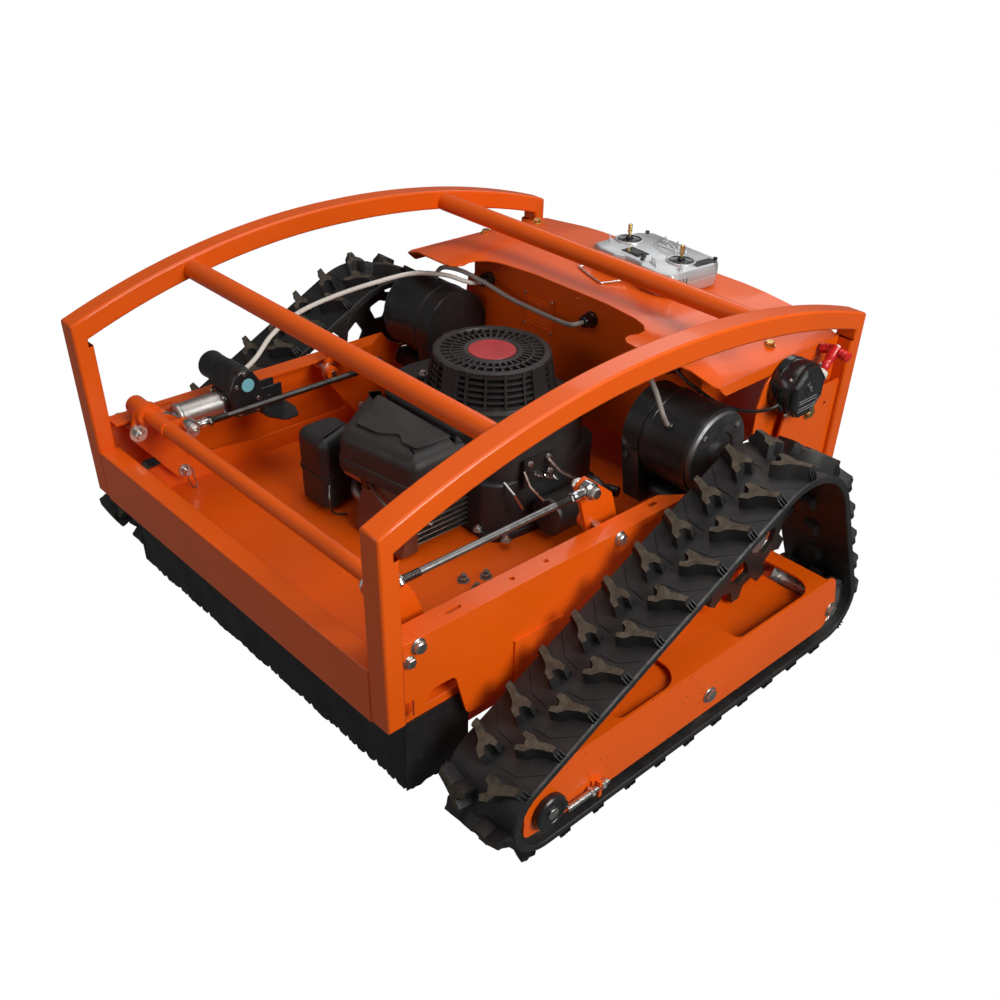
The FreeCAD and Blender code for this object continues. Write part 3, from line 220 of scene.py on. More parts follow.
def mat_land(name="rubber_land"):
    # worn tops of the lugs: brown, cross-ribbed
    k = Nodes(name)
    n1 = k.noise(70, 5)
    col = k.ramp(n1, [(0.25, (0.045, 0.036, 0.027)), (0.55, (0.105, 0.085, 0.062)), (0.85, (0.17, 0.145, 0.11))])
    w = k.new("ShaderNodeTexWave", wave_type="BANDS", bands_direction="X")
    w.inputs["Scale"].default_value = 110
    w.inputs["Distortion"].default_value = 2.2
    w.inputs["Detail"].default_value = 2
    k.link(k.tc.outputs["Object"], w.inputs["Vector"])
    col = k.mix(k.math("MULTIPLY", w.outputs["Fac"], 0.35), col, (0.03, 0.025, 0.02))
    k.set(color=col, rough=0.88, spec=0.2)
    k.bump(k.math("ADD", w.outputs["Fac"], k.math("MULTIPLY", k.noise(300, 4), 0.6)), 0.7, 0.0012)
    return k.m


def mat_metal(name, base, rough=0.3, var=0.12, scale=40, metal=1.0, brush=None, spots=None, bump=0.05):
    k = Nodes(name)
    n1 = k.noise(scale, 5)
    a = tuple(c * (1 - var) for c in base)
    b = tuple(min(1, c * (1 + var)) for c in base)
    col = k.mix(k.ramp(n1, [(0.3, 0.0), (0.7, 1.0)]), a, b)
    if spots:
        s = k.ramp(k.noise(scale * 4, 4), [(0.60, 0.0), (0.72, 1.0)])
        col = k.mix(s, col, spots)
    r = k.ramp(k.noise(scale * 2.2, 4), [(0.25, max(0.02, rough - 0.08)), (0.75, min(1, rough + 0.1))])
    k.set(color=col, metal=metal, rough=r)
    if brush:
        mp = k.new("ShaderNodeMapping")
        mp.inputs["Scale"].default_value = brush
        k.link(k.tc.outputs["Object"], mp.inputs["Vector"])
        h = k.noise(6, 5, 0.7, vec=mp.outputs[0])
        k.bump(h, 0.25, 0.0004)
    else:
        k.bump(k.noise(300, 3), bump, 0.0005)
    return k.m


def mat_plastic(name, base, rough=0.5, grain=600, grain_strength=0.2, var=0.25, coat=0.0):
    k = Nodes(name)
    n1 = k.noise(9, 4)
    col = k.mix(k.ramp(n1, [(0.3, 0.0), (0.75, 1.0)]), tuple(c * (1 - var) for c in base), tuple(min(1, c * (1 + var)) for c in base))
    dust = k.ramp(k.noise(55, 6, 0.65), [(0.55, 0.0), (0.8, 1.0)])
    col = k.mix(k.math("MULTIPLY", dust, 0.10), col, (0.25, 0.22, 0.19))
    k.set(color=col, rough=k.ramp(k.noise(20, 3), [(0.3, max(0.05, rough - 0.07)), (0.7, min(1, rough + 0.07))]), spec=0.4)
    if coat:
        k.set(coat=coat, coat_rough=0.1)
    k.bump(k.noise(grain, 3), grain_strength, 0.0005)
    return k.m


M = {}
M["orange"] = mat_orange()
M["orange_dirty"] = mat_orange("orange_track_frame", dirt=1.0)
M["rubber"] = mat_rubber()
M["land"] = mat_land()
M["zinc"] = mat_metal("zinc_plate", (0.62, 0.61, 0.58), 0.30, 0.12, 60, spots=(0.42, 0.36, 0.28))
M["bright"] = mat_metal("bright_steel", (0.66, 0.66, 0.65), 0.20, 0.08, 80)
M["brass"] = mat_metal("yellow_zinc", (0.76, 0.55, 0.20), 0.28, 0.18, 90, spots=(0.85, 0.72, 0.45))
M["rod"] = mat_metal("rod_steel", (0.32, 0.32, 0.31), 0.32, 0.12, 50, brush=(1, 1, 60))
M["rod_dark"] = mat_metal("rod_black", (0.10, 0.095, 0.09), 0.34, 0.2, 50)
M["alu"] = mat_metal("cast_aluminium", (0.52, 0.51, 0.49), 0.42, 0.12, 30, brush=(60, 2, 60))
M["alu_dark"] = mat_metal("dirty_aluminium", (0.26, 0.24, 0.22), 0.5, 0.25, 30, spots=(0.10, 0.08, 0.06))
M["cap"] = mat_metal("motor_cap", (0.17, 0.17, 0.172), 0.5, 0.08, 20)
M["black_paint"] = mat_plastic("black_paint", (0.014, 0.014, 0.015), 0.34, 260, 0.06, 0.25, 0.2)
M["black_steel"] = mat_metal("black_steel", (0.055, 0.050, 0.047), 0.42, 0.3, 24, metal=0.7)
M["plastic"] = mat_plastic("black_plastic", (0.022, 0.022, 0.023), 0.42, 700, 0.35)
M["plastic_soft"] = mat_plastic("black_plastic_soft", (0.030, 0.029, 0.029), 0.55, 500, 0.35)
M["gloss_black"] = mat_plastic("gloss_black", (0.012, 0.012, 0.013), 0.22, 300, 0.04, 0.2, 0.4)
M["red"] = mat_plastic("red_plastic", (0.62, 0.012, 0.012), 0.3, 500, 0.1, 0.12, 0.3)
M["silver"] = mat_metal("silver_case", (0.60, 0.61, 0.62), 0.36, 0.06, 12, metal=0.65)
M["cable"] = mat_plastic("grey_cable", (0.235, 0.205, 0.185), 0.5, 300, 0.12, 0.12)
M["cable_white"] = mat_plastic("white_cable", (0.66, 0.62, 0.56), 0.5, 300, 0.1, 0.08)
M["blue"] = mat_plastic("blue_sticker", (0.22, 0.62, 0.72), 0.35, 60, 0.1, 0.3)
M["white"] = mat_plastic("white_tag", (0.78, 0.78, 0.76), 0.5, 90, 0.05, 0.04)
M["label"] = mat_plastic("label_red", (0.45, 0.03, 0.035), 0.35, 40, 0.05, 0.2)
M["screen"] = mat_plastic("dark_screen", (0.03, 0.035, 0.04), 0.12, 40, 0.02, 0.2, 0.5)
M["engine_top"] = mat_plastic("dusty_cover", (0.026, 0.024, 0.023), 0.50, 520, 0.35, 0.3)
M["shield"] = mat_metal("stained_shield", (0.20, 0.10, 0.065), 0.5, 0.35, 18, metal=0.8, spots=(0.09, 0.05, 0.035))
M["copper"] = mat_plastic("tan_boot", (0.42, 0.13, 0.05), 0.45, 200, 0.1, 0.25)
# near-black material for sheets laid inside hollows: painted shade
M["painted_shade"] = mat_plastic("inside_shadow", (0.004, 0.004, 0.004), 0.8, 100, 0.0, 0.1)
M["skirt"] = mat_plastic("skirt_rubber", (0.012, 0.012, 0.0125), 0.55, 120, 0.4, 0.3)


# ------------------------------------------------------------------ mesh helpers
def obj_from(bm, name, mat, body, replaces=(), smooth=30, bevel=0.0, seg=2, sub=0):
    me = bpy.data.meshes.new(name)
    bm.normal_update()
    bm.to_mesh(me)
    bm.free()
    ob = bpy.data.objects.new(name, me)
    bpy.context.scene.collection.objects.link(ob)
    mats = mat if isinstance(mat, (list, tuple)) else [mat]
    for mm in mats:
        me.materials.append(M[mm] if isinstance(mm, str) else mm)
    if bevel > 0:
        md = ob.modifiers.new("bevel", "BEVEL")
        md.width = bevel
        md.segments = seg
        md.limit_method = "ANGLE"
        md.angle_limit = math.radians(28)
        md.harden_normals = False
        md.use_clamp_overlap = True
    if sub:
        md = ob.modifiers.new("sub", "SUBSURF")
        md.levels = sub
        md.render_levels = sub
    if smooth is not None:
        for p in me.polygons:
            p.use_smooth = True
        try:
            me.set_sharp_from_angle(angle=math.radians(smooth))
        except Exception:
            pass
    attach(ob, body)
    if replaces:
        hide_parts(*replaces)
    return ob


def bm_box(bm, lo, hi, mi=0):
    vs = [bm.verts.new((x, y, z)) for x in (lo[0], hi[0]) for y in (lo[1], hi[1]) for z in (lo[2], hi[2])]
    fs = [(0, 1, 3, 2), (4, 6, 7, 5), (0, 4, 5, 1), (2, 3, 7, 6), (0, 2, 6, 4), (1, 5, 7, 3)]
    out = []
    for f in fs:
        q = bm.faces.new([vs[i] for i in f])
        q.material_index = mi
        out.append(q)
    return vs


def frame_of(axis):
    a = Vector(axis).normalized()
    t = Vector((0, 0, 1)) if abs(a.z) < 0.9 else Vector((1, 0, 0))
    u = a.cross(t).normalized()
    v = a.cross(u).normalized()
    return a, u, v


def bm_lathe(bm, base, axis, prof, n=32, mi=0, close=True):
    """prof: list of (distance along axis, radius); caps where it starts and ends"""
    a, u, v = frame_of(axis)
    base = Vector(base)
    rings = []
    for (h, r) in prof:
        if r <= 1e-7:
            rings.append([bm.verts.new(base + a * h)])
        else:
            rings.append([bm.verts.new(base + a * h + (u * math.cos(2 * math.pi * i / n) + v * math.sin(2 * math.pi * i / n)) * r) for i in range(n)])
    for k in range(len(rings) - 1):
        A, B = rings[k], rings[k + 1]
        for i in range(n):
            j = (i + 1) % n
            if len(A) == 1 and len(B) == 1:
                continue
            if len(A) == 1:
                f = bm.faces.new((A[0], B[j], B[i]))
            elif len(B) == 1:
                f = bm.faces.new((A[i], A[j], B[0]))
            else:
                f = bm.faces.new((A[i], A[j], B[j], B[i]))
            f.material_index = mi
    if close:
        if len(rings[0]) > 1:
            f = bm.faces.new(rings[0][::-1])
            f.material_index = mi
        if len(rings[-1]) > 1:
            f = bm.faces.new(rings[-1])
            f.material_index = mi
    return rings


def bm_cyl(bm, base, axis, r, h, n=32, mi=0, ch=0.0):
    if ch > 0:
        bm_lathe(bm, base, axis, [(0, r - ch), (ch, r), (h - ch, r), (h, r - ch)], n, mi)
    else:
        bm_lathe(bm, base, axis, [(0, r), (h, r)], n, mi)


def bm_hex(bm, base, axis, r, h, mi=0, bore=0.0):
    bm_lathe(bm, base, axis, [(0, r * 0.96), (h * 0.12, r), (h * 0.82, r), (h, r * 0.86)], 6, mi)


def bm_bolt(bm, base, axis, r, h, mi=0, washer=True, stud=0.0):
    """hex head standing on a washer; base is on the plate's face"""
    a = Vector(axis).normalized()
    b = Vector(base)
    if washer:
        bm_cyl(bm, b, a, r * 1.28, r * 0.18, 28, mi, r * 0.03)
        b = b + a * r * 0.18
    bm_hex(bm, b, a, r, h, mi)
    if stud:
        bm_cyl(bm, b + a * h, a, r * 0.5, stud, 16, mi, r * 0.06)
        for i in range(int(stud / 0.0012)):
            pass


def bm_prism(bm, pts, axis, lo, hi, mi=0):
    """closed polygon pts (2-tuples) in the plane across `axis`, extruded from lo to hi. axis x: (y, z); y: (x, z); z: (x, y)"""
    def V(p, h):
        if axis == "x":
            return (h, p[0], p[1])
        if axis == "y":
            return (p[0], h, p[1])
        return (p[0], p[1], h)
    a = [bm.verts.new(V(p, lo)) for p in pts]
    b = [bm.verts.new(V(p, hi)) for p in pts]
    n = len(pts)
    fs = [bm.faces.new(a), bm.faces.new(b[::-1])]
    for i in range(n):
        j = (i + 1) % n
        fs.append(bm.faces.new((a[i], b[i], b[j], a[j])))
    for f in fs:
        f.material_index = mi
    return a, b


def round_pts(pts, r, n=5):
    """round the corners of a 2-D polygon"""
    out = []
    m = len(pts)
    for i in range(m):
        p = Vector((pts[i][0], pts[i][1]))
        rr = pts[i][2] if len(pts[i]) > 2 else r
        a = Vector(pts[i - 1][:2]) - p
        b = Vector(pts[(i + 1) % m][:2]) - p
        la, lb = a.length, b.length
        a.normalize()
        b.normalize()
        ang = math.acos(max(-1, min(1, a.dot(b))))
        if rr <= 0 or ang > math.pi - 0.05:
            out.append((p.x, p.y))
            continue
        d = min(rr / math.tan(ang / 2), 0.49 * la, 0.49 * lb)
        r2 = d * math.tan(ang / 2)
        c = p + (a + b).normalized() * (r2 / math.sin(ang / 2))
        s = p + a * d - c
        e = p + b * d - c
        t = s.angle_signed(e)
        for q in range(n + 1):
            w = -t * q / n
            out.append((c.x + s.x * math.cos(w) - s.y * math.sin(w), c.y + s.x * math.sin(w) + s.y * math.cos(w)))
    return out


def fix(bm):
    bmesh.ops.recalc_face_normals(bm, faces=bm.faces[:])


def bm_tube(bm, pts, r, n=12, mi=0, closed=False, cap=True):
    """round tube along a list of points"""
    pts = [Vector(p) for p in pts]
    m = len(pts)
    rings = []
    t0 = (pts[1] - pts[0]).normalized()
    u = t0.orthogonal().normalized()
    for i in range(m):
        if closed:
            t = (pts[(i + 1) % m] - pts[i - 1]).normalized()
        else:
            t = (pts[min(i + 1, m - 1)] - pts[max(i - 1, 0)]).normalized()
        u = (u - t * u.dot(t)).normalized()
        v = t.cross(u)
        rr = r[i] if isinstance(r, (list, tuple)) else r
        rings.append([bm.verts.new(pts[i] + (u * math.cos(2 * math.pi * k / n) + v * math.sin(2 * math.pi * k / n)) * rr) for k in range(n)])
    for i in range(m if closed else m - 1):
        A, B = rings[i], rings[(i + 1) % m]
        for k in range(n):
            q = (k + 1) % n
            f = bm.faces.new((A[k], A[q], B[q], B[k]))
            f.material_index = mi
    if cap and not closed:
        bm.faces.new(rings[0][::-1]).material_index = mi
        bm.faces.new(rings[-1]).material_index = mi
    return rings


def spline_pts(pts, sub=8):
    """points on a smooth curve through pts"""
    pts = [Vector(p) for p in pts]
    out = []
    n = len(pts)
    for i in range(n - 1):
        p0 = pts[i - 1] if i > 0 else pts[i] * 2 - pts[i + 1]
        p1, p2 = pts[i], pts[i + 1]
        p3 = pts[i + 2] if i + 2 < n else pts[i + 1] * 2 - pts[i]
        for k in range(sub):
            t = k / sub
            out.append(0.5 * ((2 * p1) + (-p0 + p2) * t + (2 * p0 - 5 * p1 + 4 * p2 - p3) * t * t + (-p0 + 3 * p1 - 3 * p2 + p3) * t ** 3))
    out.append(pts[-1])
    return out


def refined(node, mat, bevel=0.0015, seg=2, smooth=32, dissolve=0.6, extra=()):
    """the CAD piece itself with worn, rounded edges"""
    src = NODE[node]
    bm = bmesh.new()
    bm.from_mesh(src.data)
    bmesh.ops.remove_doubles(bm, verts=bm.verts[:], dist=2e-6)
    bmesh.ops.dissolve_limit(bm, angle_limit=math.radians(dissolve), verts=bm.verts[:], edges=bm.edges[:])
    ob = obj_from(bm, node + "_skin", mat, NODE_BODY[node], (node,), smooth, bevel, seg)
    return ob


def paint(node, mat):
    o = NODE[node]
    o.data.materials.clear()
    o.data.materials.append(M[mat] if isinstance(mat, str) else mat)
    for p in o.data.polygons:
        p.use_smooth = True
    try:
        o.data.set_sharp_from_angle(angle=math.radians(30))
    except Exception:
        pass


# ------------------------------------------------------------------ orange frame and plates (CAD shapes, rounded edges)
def cage():
    # arches and posts are one welded skin
    names = ("arch_left", "arch_right", "front_posts", "rear_posts")
    bm = bmesh.new()
    for n in names:
        bm.from_mesh(NODE[n].data)
    bmesh.ops.remove_doubles(bm, verts=bm.verts[:], dist=2e-5)
    seam = [f for f in bm.faces if abs(f.normal.z) > 0.99 and all(min(abs(v.co.z - 0.497), abs(v.co.z - 0.512)) < 1e-5 for v in f.verts)]
    bmesh.ops.delete(bm, geom=seam, context="FACES_ONLY")
    bmesh.ops.remove_doubles(bm, verts=bm.verts[:], dist=2e-5)
    bmesh.ops.recalc_face_normals(bm, faces=bm.faces[:])
    bmesh.ops.dissolve_limit(bm, angle_limit=math.radians(0.6), verts=bm.verts[:], edges=bm.edges[:])
    return obj_from(bm, "cage", "orange", "chassis", names, 32, 0.0035, 2)


cage()
for n, bv in (("front_beam", 0.003),
              ("rear_beam", 0.003), ("crossbars", 0.0005), ("side_plate_left", 0.0009), ("side_plate_right", 0.0009),
              ("mower_deck", 0.0009), ("control_box", 0.0012), ("control_lid", 0.0009), ("recoil_bracket", 0.0009),
              ("lift_crank", 0.0008), ("rear_crank_left", 0.0008), ("rear_crank_right", 0.0008)):
    refined(n, "orange", bv)
for n in ("track_frame_left", "track_frame_right"):
    refined(n, "orange_dirty", 0.0009)
for n in ("idler_left", "idler_right", "mid_wheel_left", "mid_wheel_right", "rear_wheel_left", "rear_wheel_right",
          "drive_shaft_left", "drive_shaft_right", "blade_spindle", "actuator_rod"):
    refined(n, "zinc", 0.0006)
for n in ("sprocket_left", "sprocket_right", "cutter_blade"):
    refined(n, "black_steel", 0.0006)
refined("actuator_bracket", "black_paint", 0.0006)
refined("gearcases", "black_paint", 0.001)
for n in ("batteries", "motor_controller"):
    refined(n, "plastic", 0.0012)

# ------------------------------------------------------------------ rubber tracks
REAR = (876.0, 94.0, 56.0)
IDLE = (150.0, 96.0, 58.0)
DRIVE = (697.0, 285.0, 137.0)


def loop_parts(extra):
    cs = [(Vector((c[0], c[1])), c[2] + extra) for c in (REAR, IDLE, DRIVE)]
    tans = []
    for i in range(3):
        c1, r1 = cs[i]
        c2, r2 = cs[(i + 1) % 3]
        d = c2 - c1
        L = d.length
        u = d / L
        n = Vector((-u.y, u.x))
        s = (r1 - r2) / L
        mid = sum((c[0] for c in cs), Vector((0, 0))) / 3
        if n.dot((c1 + c2) / 2 - mid) < 0:
            n = -n
        q = u * s + n * math.sqrt(1 - s * s)
        tans.append((c1 + q * r1, c2 + q * r2))
    parts = []
    for i in range(3):
        a, b = tans[i]
        parts.append(("line", a, b, (b - a).length))
        c, r = cs[(i + 1) % 3]
        e = tans[(i + 1) % 3][0]
        a0 = math.atan2((b - c).y, (b - c).x)
        a1 = math.atan2((e - c).y, (e - c).x)
        # rear -> idler -> sprocket turns clockwise in (y, z)
        sweep = (a0 - a1) % (2 * math.pi)
        parts.append(("arc", c, r, a0, sweep, r * sweep))
    return parts


PARTS = loop_parts(14.0)
LOOP = sum(p[-1] for p in PARTS)


def on_loop(s):
    """point, tangent and outward normal on the belt's outer face, in mm"""
    s = s % LOOP
    for p in PARTS:
        if s <= p[-1]:
            break
        s -= p[-1]
    if p[0] == "line":
        t = (p[2] - p[1]).normalized()
        pos = p[1] + t * s
        n = Vector((-t.y, t.x))
        if n.dot(pos - Vector((574, 158))) < 0:
            n = -n
        return pos, t, n
    c, r, a0, sweep, L = p[1:]
    a = a0 - s / r
    n = Vector((math.cos(a), math.sin(a)))
    return c + n * r, Vector((n.y, -n.x)), n


def offset_poly(pts, d):
    out = []
    n = len(pts)
    area = sum(pts[i - 1][0] * pts[i][1] - pts[i][0] * pts[i - 1][1] for i in range(n))
    sg = 1 if area > 0 else -1
    for i in range(n):
        p0, p1, p2 = Vector(pts[i - 1]), Vector(pts[i]), Vector(pts[(i + 1) % n])
        e1 = (p1 - p0).normalized()
        e2 = (p2 - p1).normalized()
        n1 = Vector((e1.y, -e1.x)) * sg
        n2 = Vector((e2.y, -e2.x)) * sg
        m = n1 + n2
        if m.length < 1e-6:
            m = n1
        m.normalize()
        k = d / max(0.55, m.dot(n1))
        out.append((p1.x + m.x * k, p1.y + m.y * k))
    return out


# the lug seen from above: u along the belt, v inwards from the belt's edge
FOOT = [(10, 9), (20, 9), (16, 24), (11, 37), (14, 49), (12, 63), (5, 65), (2, 55), (-5, 51), (-12, 61), (-19, 58), (-14, 45), (-3, 37), (4, 24)]
FOOT_BASE = offset_poly(FOOT, 3.4)
FOOT_MID = offset_poly(FOOT, 0.9)


def belt(side):
    sx = 1 if side == "right" else -1
    bm = bmesh.new()
    n_arc = 26
    ring_s = []
    s = 0.0
    for p in PARTS:
        k = max(2, int(p[-1] / 12)) if p[0] == "line" else n_arc
        for i in range(k):
            ring_s.append(s + p[-1] * i / k)
        s += p[-1]
    sec = [(455.0, -12.5), (456.5, -14.0), (603.5, -14.0), (605.0, -12.5), (605.0, -2.5), (602.0, 0.0), (458.0, 0.0), (455.0, -2.5)]

    def W(s, x, h):
        pos, t, n = on_loop(s)
        q = pos + n * h
        return P(sx * x, q.x, q.y)
    rings = [[bm.verts.new(W(s, x, h)) for x, h in sec] for s in ring_s]
    for i in range(len(rings)):
        A, B = rings[i], rings[(i + 1) % len(rings)]
        for k in range(len(sec)):
            q = (k + 1) % len(sec)
            bm.faces.new((A[k], B[k], B[q], A[q])).material_index = 0
    step = LOOP / 29
    rnd = random.Random(3)

    def lug(s0, row):
        hgt = 23.6 - rnd.random() * 0.8
        layers = [(FOOT_BASE, -1.0), (offset_poly(FOOT, 2.2), 5.0), (FOOT_MID, hgt - 3.5), (FOOT, hgt)]
        vs = []
        for poly, h in layers:
            ring = []
            for (u, v) in poly:
                v = max(1.0, v)
                if h > 0:
                    v = max(v, 1.0 + (h / 24.0) * 7.0)
                x = 605 - v if row == 0 else 455 + v
                jit = 0.35 * (rnd.random() - 0.5)
                ring.append(bm.verts.new(W(s0 + u + jit, x, min(23.8, h + (jit if h > 1 else 0)))))
            vs.append(ring)
        m = len(FOOT)
        for a in range(len(vs) - 1):
            for k in range(m):
                q = (k + 1) % m
                bm.faces.new((vs[a][k], vs[a][q], vs[a + 1][q], vs[a + 1][k])).material_index = 0
        f = bm.faces.new(vs[-1])
        f.material_index = 1
        # thin fins down the outer end
        for uo in (9.5, 15.0, 20.5):
            v0, v1 = 0.6, 9.5
            quad = []
            for du in (-0.7, 0.7):
                for (vv, hh) in ((v0, 0.0), (v1, 0.0), (v1, 19.0), (v0, 7.0)):
                    x = 605 - vv if row == 0 else 455 + vv
                    quad.append(bm.verts.new(W(s0 + uo + du, x, hh)))
            for f4 in ((0, 1, 2, 3), (7, 6, 5, 4), (3, 2, 6, 7), (0, 3, 7, 4)):
                bm.faces.new([quad[i] for i in f4]).material_index = 0
    for i in range(29):
        lug(i * step + 10, 0)
        lug((i + 0.5) * step + 10, 1)
        # moulded seam across the belt and a low wear bar
        for j, (x0, x1, du) in enumerate(((460, 526, 16), (534, 600, -16))):
            s0 = (i + (0.0 if j == 0 else 0.5)) * step + 10
            pts = [(s0 + 4 + du, x0), (s0 - 8, (x0 + x1) / 2), (s0 + 4 - du, x1)]
            for a in range(2):
                (sa, xa), (sb, xb) = pts[a], pts[a + 1]
                v = [bm.verts.new(W(sa - 1.3, xa, -0.5)), bm.verts.new(W(sa, xa, 1.1)), bm.verts.new(W(sa + 1.3, xa, -0.5)),
                     bm.verts.new(W(sb - 1.3, xb, -0.5)), bm.verts.new(W(sb, xb, 1.1)), bm.verts.new(W(sb + 1.3, xb, -0.5))]
                bm.faces.new((v[0], v[1], v[4], v[3]))
                bm.faces.new((v[1], v[2], v[5], v[4]))
        # guide lug on the inside
        s0 = i * step + 10
        base = [(s0 - 15, 515), (s0 + 15, 515), (s0 + 15, 545), (s0 - 15, 545)]
        top = [(s0 - 9, 520), (s0 + 9, 520), (s0 + 9, 540), (s0 - 9, 540)]
        A = [bm.verts.new(W(a, x, -13.5)) for a, x in base]
        B = [bm.verts.new(W(a, x, -26.0)) for a, x in top]
        for k in range(4):
            q = (k + 1) % 4
            bm.faces.new((A[k], A[q], B[q], B[k]))
        bm.faces.new(B)
    fix(bm)
    return obj_from(bm, "track_" + side, ["rubber", "land"], "chassis", ("track_belt_" + side,), 34)


belt("right")
belt("left")


# ------------------------------------------------------------------ engine
def poly_slab(bm, pts, z0, z1, mi, r_top=0.0, r_corner=0.0, steps=4, n=5, tilt=None):
    """upright block on a plan outline (mm) whose top edge is rounded to r_top"""
    rp = round_pts([tuple(p) for p in pts], r_corner, n)
    layers = [(0.0, z0)]
    if r_top > 0:
        for k in range(steps + 1):
            a = math.pi / 2 * k / steps
            layers.append((r_top * (1 - math.cos(a)), z1 - r_top + r_top * math.sin(a)))
    else:
        layers.append((0.0, z1))
    rings = []
    for d, z in layers:
        q = offset_poly(rp, -d) if d > 0.01 else rp
        rings.append([bm.verts.new(P(x, y, z + (tilt(x, y) if tilt and z > z0 + 1 else 0))) for x, y in q])
    m = len(rp)
    for a in range(len(rings) - 1):
        for k in range(m):
            q = (k + 1) % m
            bm.faces.new((rings[a][k], rings[a][q], rings[a + 1][q], rings[a + 1][k])).material_index = mi
    bm.faces.new(rings[-1]).material_index = mi
    bm.faces.new(rings[0][::-1]).material_index = mi


EX, EY = -5.0, 578.0

# blower housing with a stepped rim, feet and screws
bm = bmesh.new()
poly_slab(bm, [(-190, 500, 60), (-130, 430, 20), (60, 430, 20), (150, 470, 60), (170, 600, 60), (110, 712, 60), (-110, 712, 60), (-180, 640, 60)], 310, 398, 0, 14, 20)
poly_slab(bm, [(-178, 506, 60), (-122, 442, 20), (54, 442, 20), (140, 480, 60), (158, 598, 60), (102, 700, 60), (-102, 700, 60), (-168, 636, 60)], 396, 401, 0, 3, 20, 2)
fix(bm)
obj_from(bm, "blower_shell", ["engine_top"], "deck", ("blower_housing",), 40)

# slotted fan cover
bm = bmesh.new()
c0 = P(EX, EY, 0)
up = Vector((0, 0, 1))


def z_at(z):
    return Vector((c0.x, c0.y, z / 1000.0))


bm_lathe(bm, z_at(400), up, [(0, 0.110), (0, 0.123), (0.006, 0.123), (0.009, 0.119), (0.012, 0.117)], 64, 0, False)
bm_lathe(bm, z_at(400), up, [(0.002, 0.098), (0.069, 0.088)], 48, 1, False)                      # dark inside: a near-black sleeve as painted shade inside the slotted cover
for k in range(6):
    z = 0.012 + 0.0105 * k
    r = 0.1175 - 0.0135 * (z / 0.075)
    bm_lathe(bm, z_at(400), up, [(z - 0.001, r - 0.012), (z, r), (z + 0.0042, r - 0.0008), (z + 0.0045, r - 0.012)], 64, 0, False)
for k in range(20):
    wide = 0.034 if k % 5 == 0 else 0.0042
    a = 2 * math.pi * (k + 0.35) / 20
    d = Vector((math.cos(a), math.sin(a), 0))
    t = Vector((-d.y, d.x, 0))
    q = []
    for (rr, z) in ((0.119, 0.404), (0.1065, 0.474), (0.096, 0.474), (0.100, 0.404)):
        for s2 in (-1, 1):
            q.append(bm.verts.new(Vector((c0.x, c0.y, 0)) + d * rr + t * (wide / 2) * s2 + up * z))
    for f4 in ((0, 1, 3, 2), (2, 3, 5, 4), (4, 5, 7, 6), (0, 2, 4, 6), (1, 7, 5, 3)):
        bm.faces.new([q[i] for i in f4]).material_index = 0
bm_lathe(bm, z_at(400), up, [(0.069, 0.096), (0.069, 0.1055), (0.0735, 0.1055), (0.0755, 0.103), (0.0755, 0.094), (0.0725, 0.092), (0.069, 0.092)], 64, 0, False)
# near-black disc under the top slats: painted shade behind the grille
bm_lathe(bm, z_at(400), up, [(0.064, 0.0), (0.064, 0.094)], 48, 1, False)
for k in range(36):
    a = 2 * math.pi * k / 36
    d = Vector((math.cos(a), math.sin(a), 0))
    t = Vector((-d.y, d.x, 0))
    q = []
    for rr in (0.054, 0.094):
        for z in (0.465, 0.4745):
            for s2 in (-1, 1):
                q.append(bm.verts.new(Vector((c0.x, c0.y, 0)) + d * rr + t * 0.0019 * s2 + up * z))
    for f4 in ((2, 3, 7, 6), (0, 2, 6, 4), (1, 5, 7, 3)):
        bm.faces.new([q[i] for i in f4]).material_index = 0
bm_lathe(bm, z_at(400), up, [(0.064, 0.076), (0.0735, 0.076), (0.0745, 0.074), (0.0745, 0.0715), (0.064, 0.0715)], 48, 0, False)
bm_lathe(bm, z_at(400), up, [(0.064, 0.056), (0.0725, 0.056), (0.0750, 0.053), (0.0755, 0.048), (0.0735, 0.045), (0.0735, 0.0)], 48, 0, False)
bm_lathe(bm, z_at(400), up, [(0.0737, 0.043), (0.0745, 0.0425), (0.0745, 0.0)], 48, 2, False)
fix(bm)
obj_from(bm, "fan_shroud", ["engine_top", "painted_shade", "label"], "deck", ("fan_cover",), 40)
bm = bmesh.new()
for a in (35, 125, 215, 305):
    d = Vector((math.cos(math.radians(a)), math.sin(math.radians(a)), 0))
    bm_cyl(bm, z_at(400) + d * 0.128, up, 0.0115, 0.010, 20, 1, 0.001)
    bm_bolt(bm, z_at(410) + d * 0.128, up, 0.0062, 0.005, 0, True)
fix(bm)
obj_from(bm, "shroud_bolts", ["zinc", "engine_top"], "deck")

# air filter cover: rounded box with a raised chevron panel on the top
def slope(x, y):
    return -(y - 430.0) / 145.0 * -9.0 - 4.0 if y < 430 else -4.0


bm = bmesh.new()
poly_slab(bm, [(-75, 285, 26), (100, 312, 20), (108, 428.5, 8), (-165, 428.5, 10)], 330, 397, 0, 24, 12, 5, 6, slope)
poly_slab(bm, [(-77, 283, 26), (102, 310, 20), (108, 428.5, 8), (-167, 428.5, 10)], 311, 336, 0, 5, 12, 3, 6)
poly_slab(bm, [(-62, 318), (-10, 326), (16, 350), (44, 336), (76, 342), (80, 412), (-126, 412)], 392, 400.5, 0, 4, 6, 3, 4, slope)
fix(bm)
obj_from(bm, "air_cleaner", ["engine_top"], "deck", ("air_filter_cover",), 42)
# canister
bm = bmesh.new()
poly_slab(bm, [(-200, 276, 26), (-104, 276, 14), (-134, 366, 14), (-200, 366, 26)], 210, 344, 0, 18, 14, 5, 6)
poly_slab(bm, [(-202, 274, 26), (-103, 274, 14), (-133, 368, 14), (-202, 368, 26)], 268, 272, 0, 1.5, 14, 2, 6)
fix(bm)
obj_from(bm, "canister", ["plastic"], "deck", ("fuel_canister",), 42)
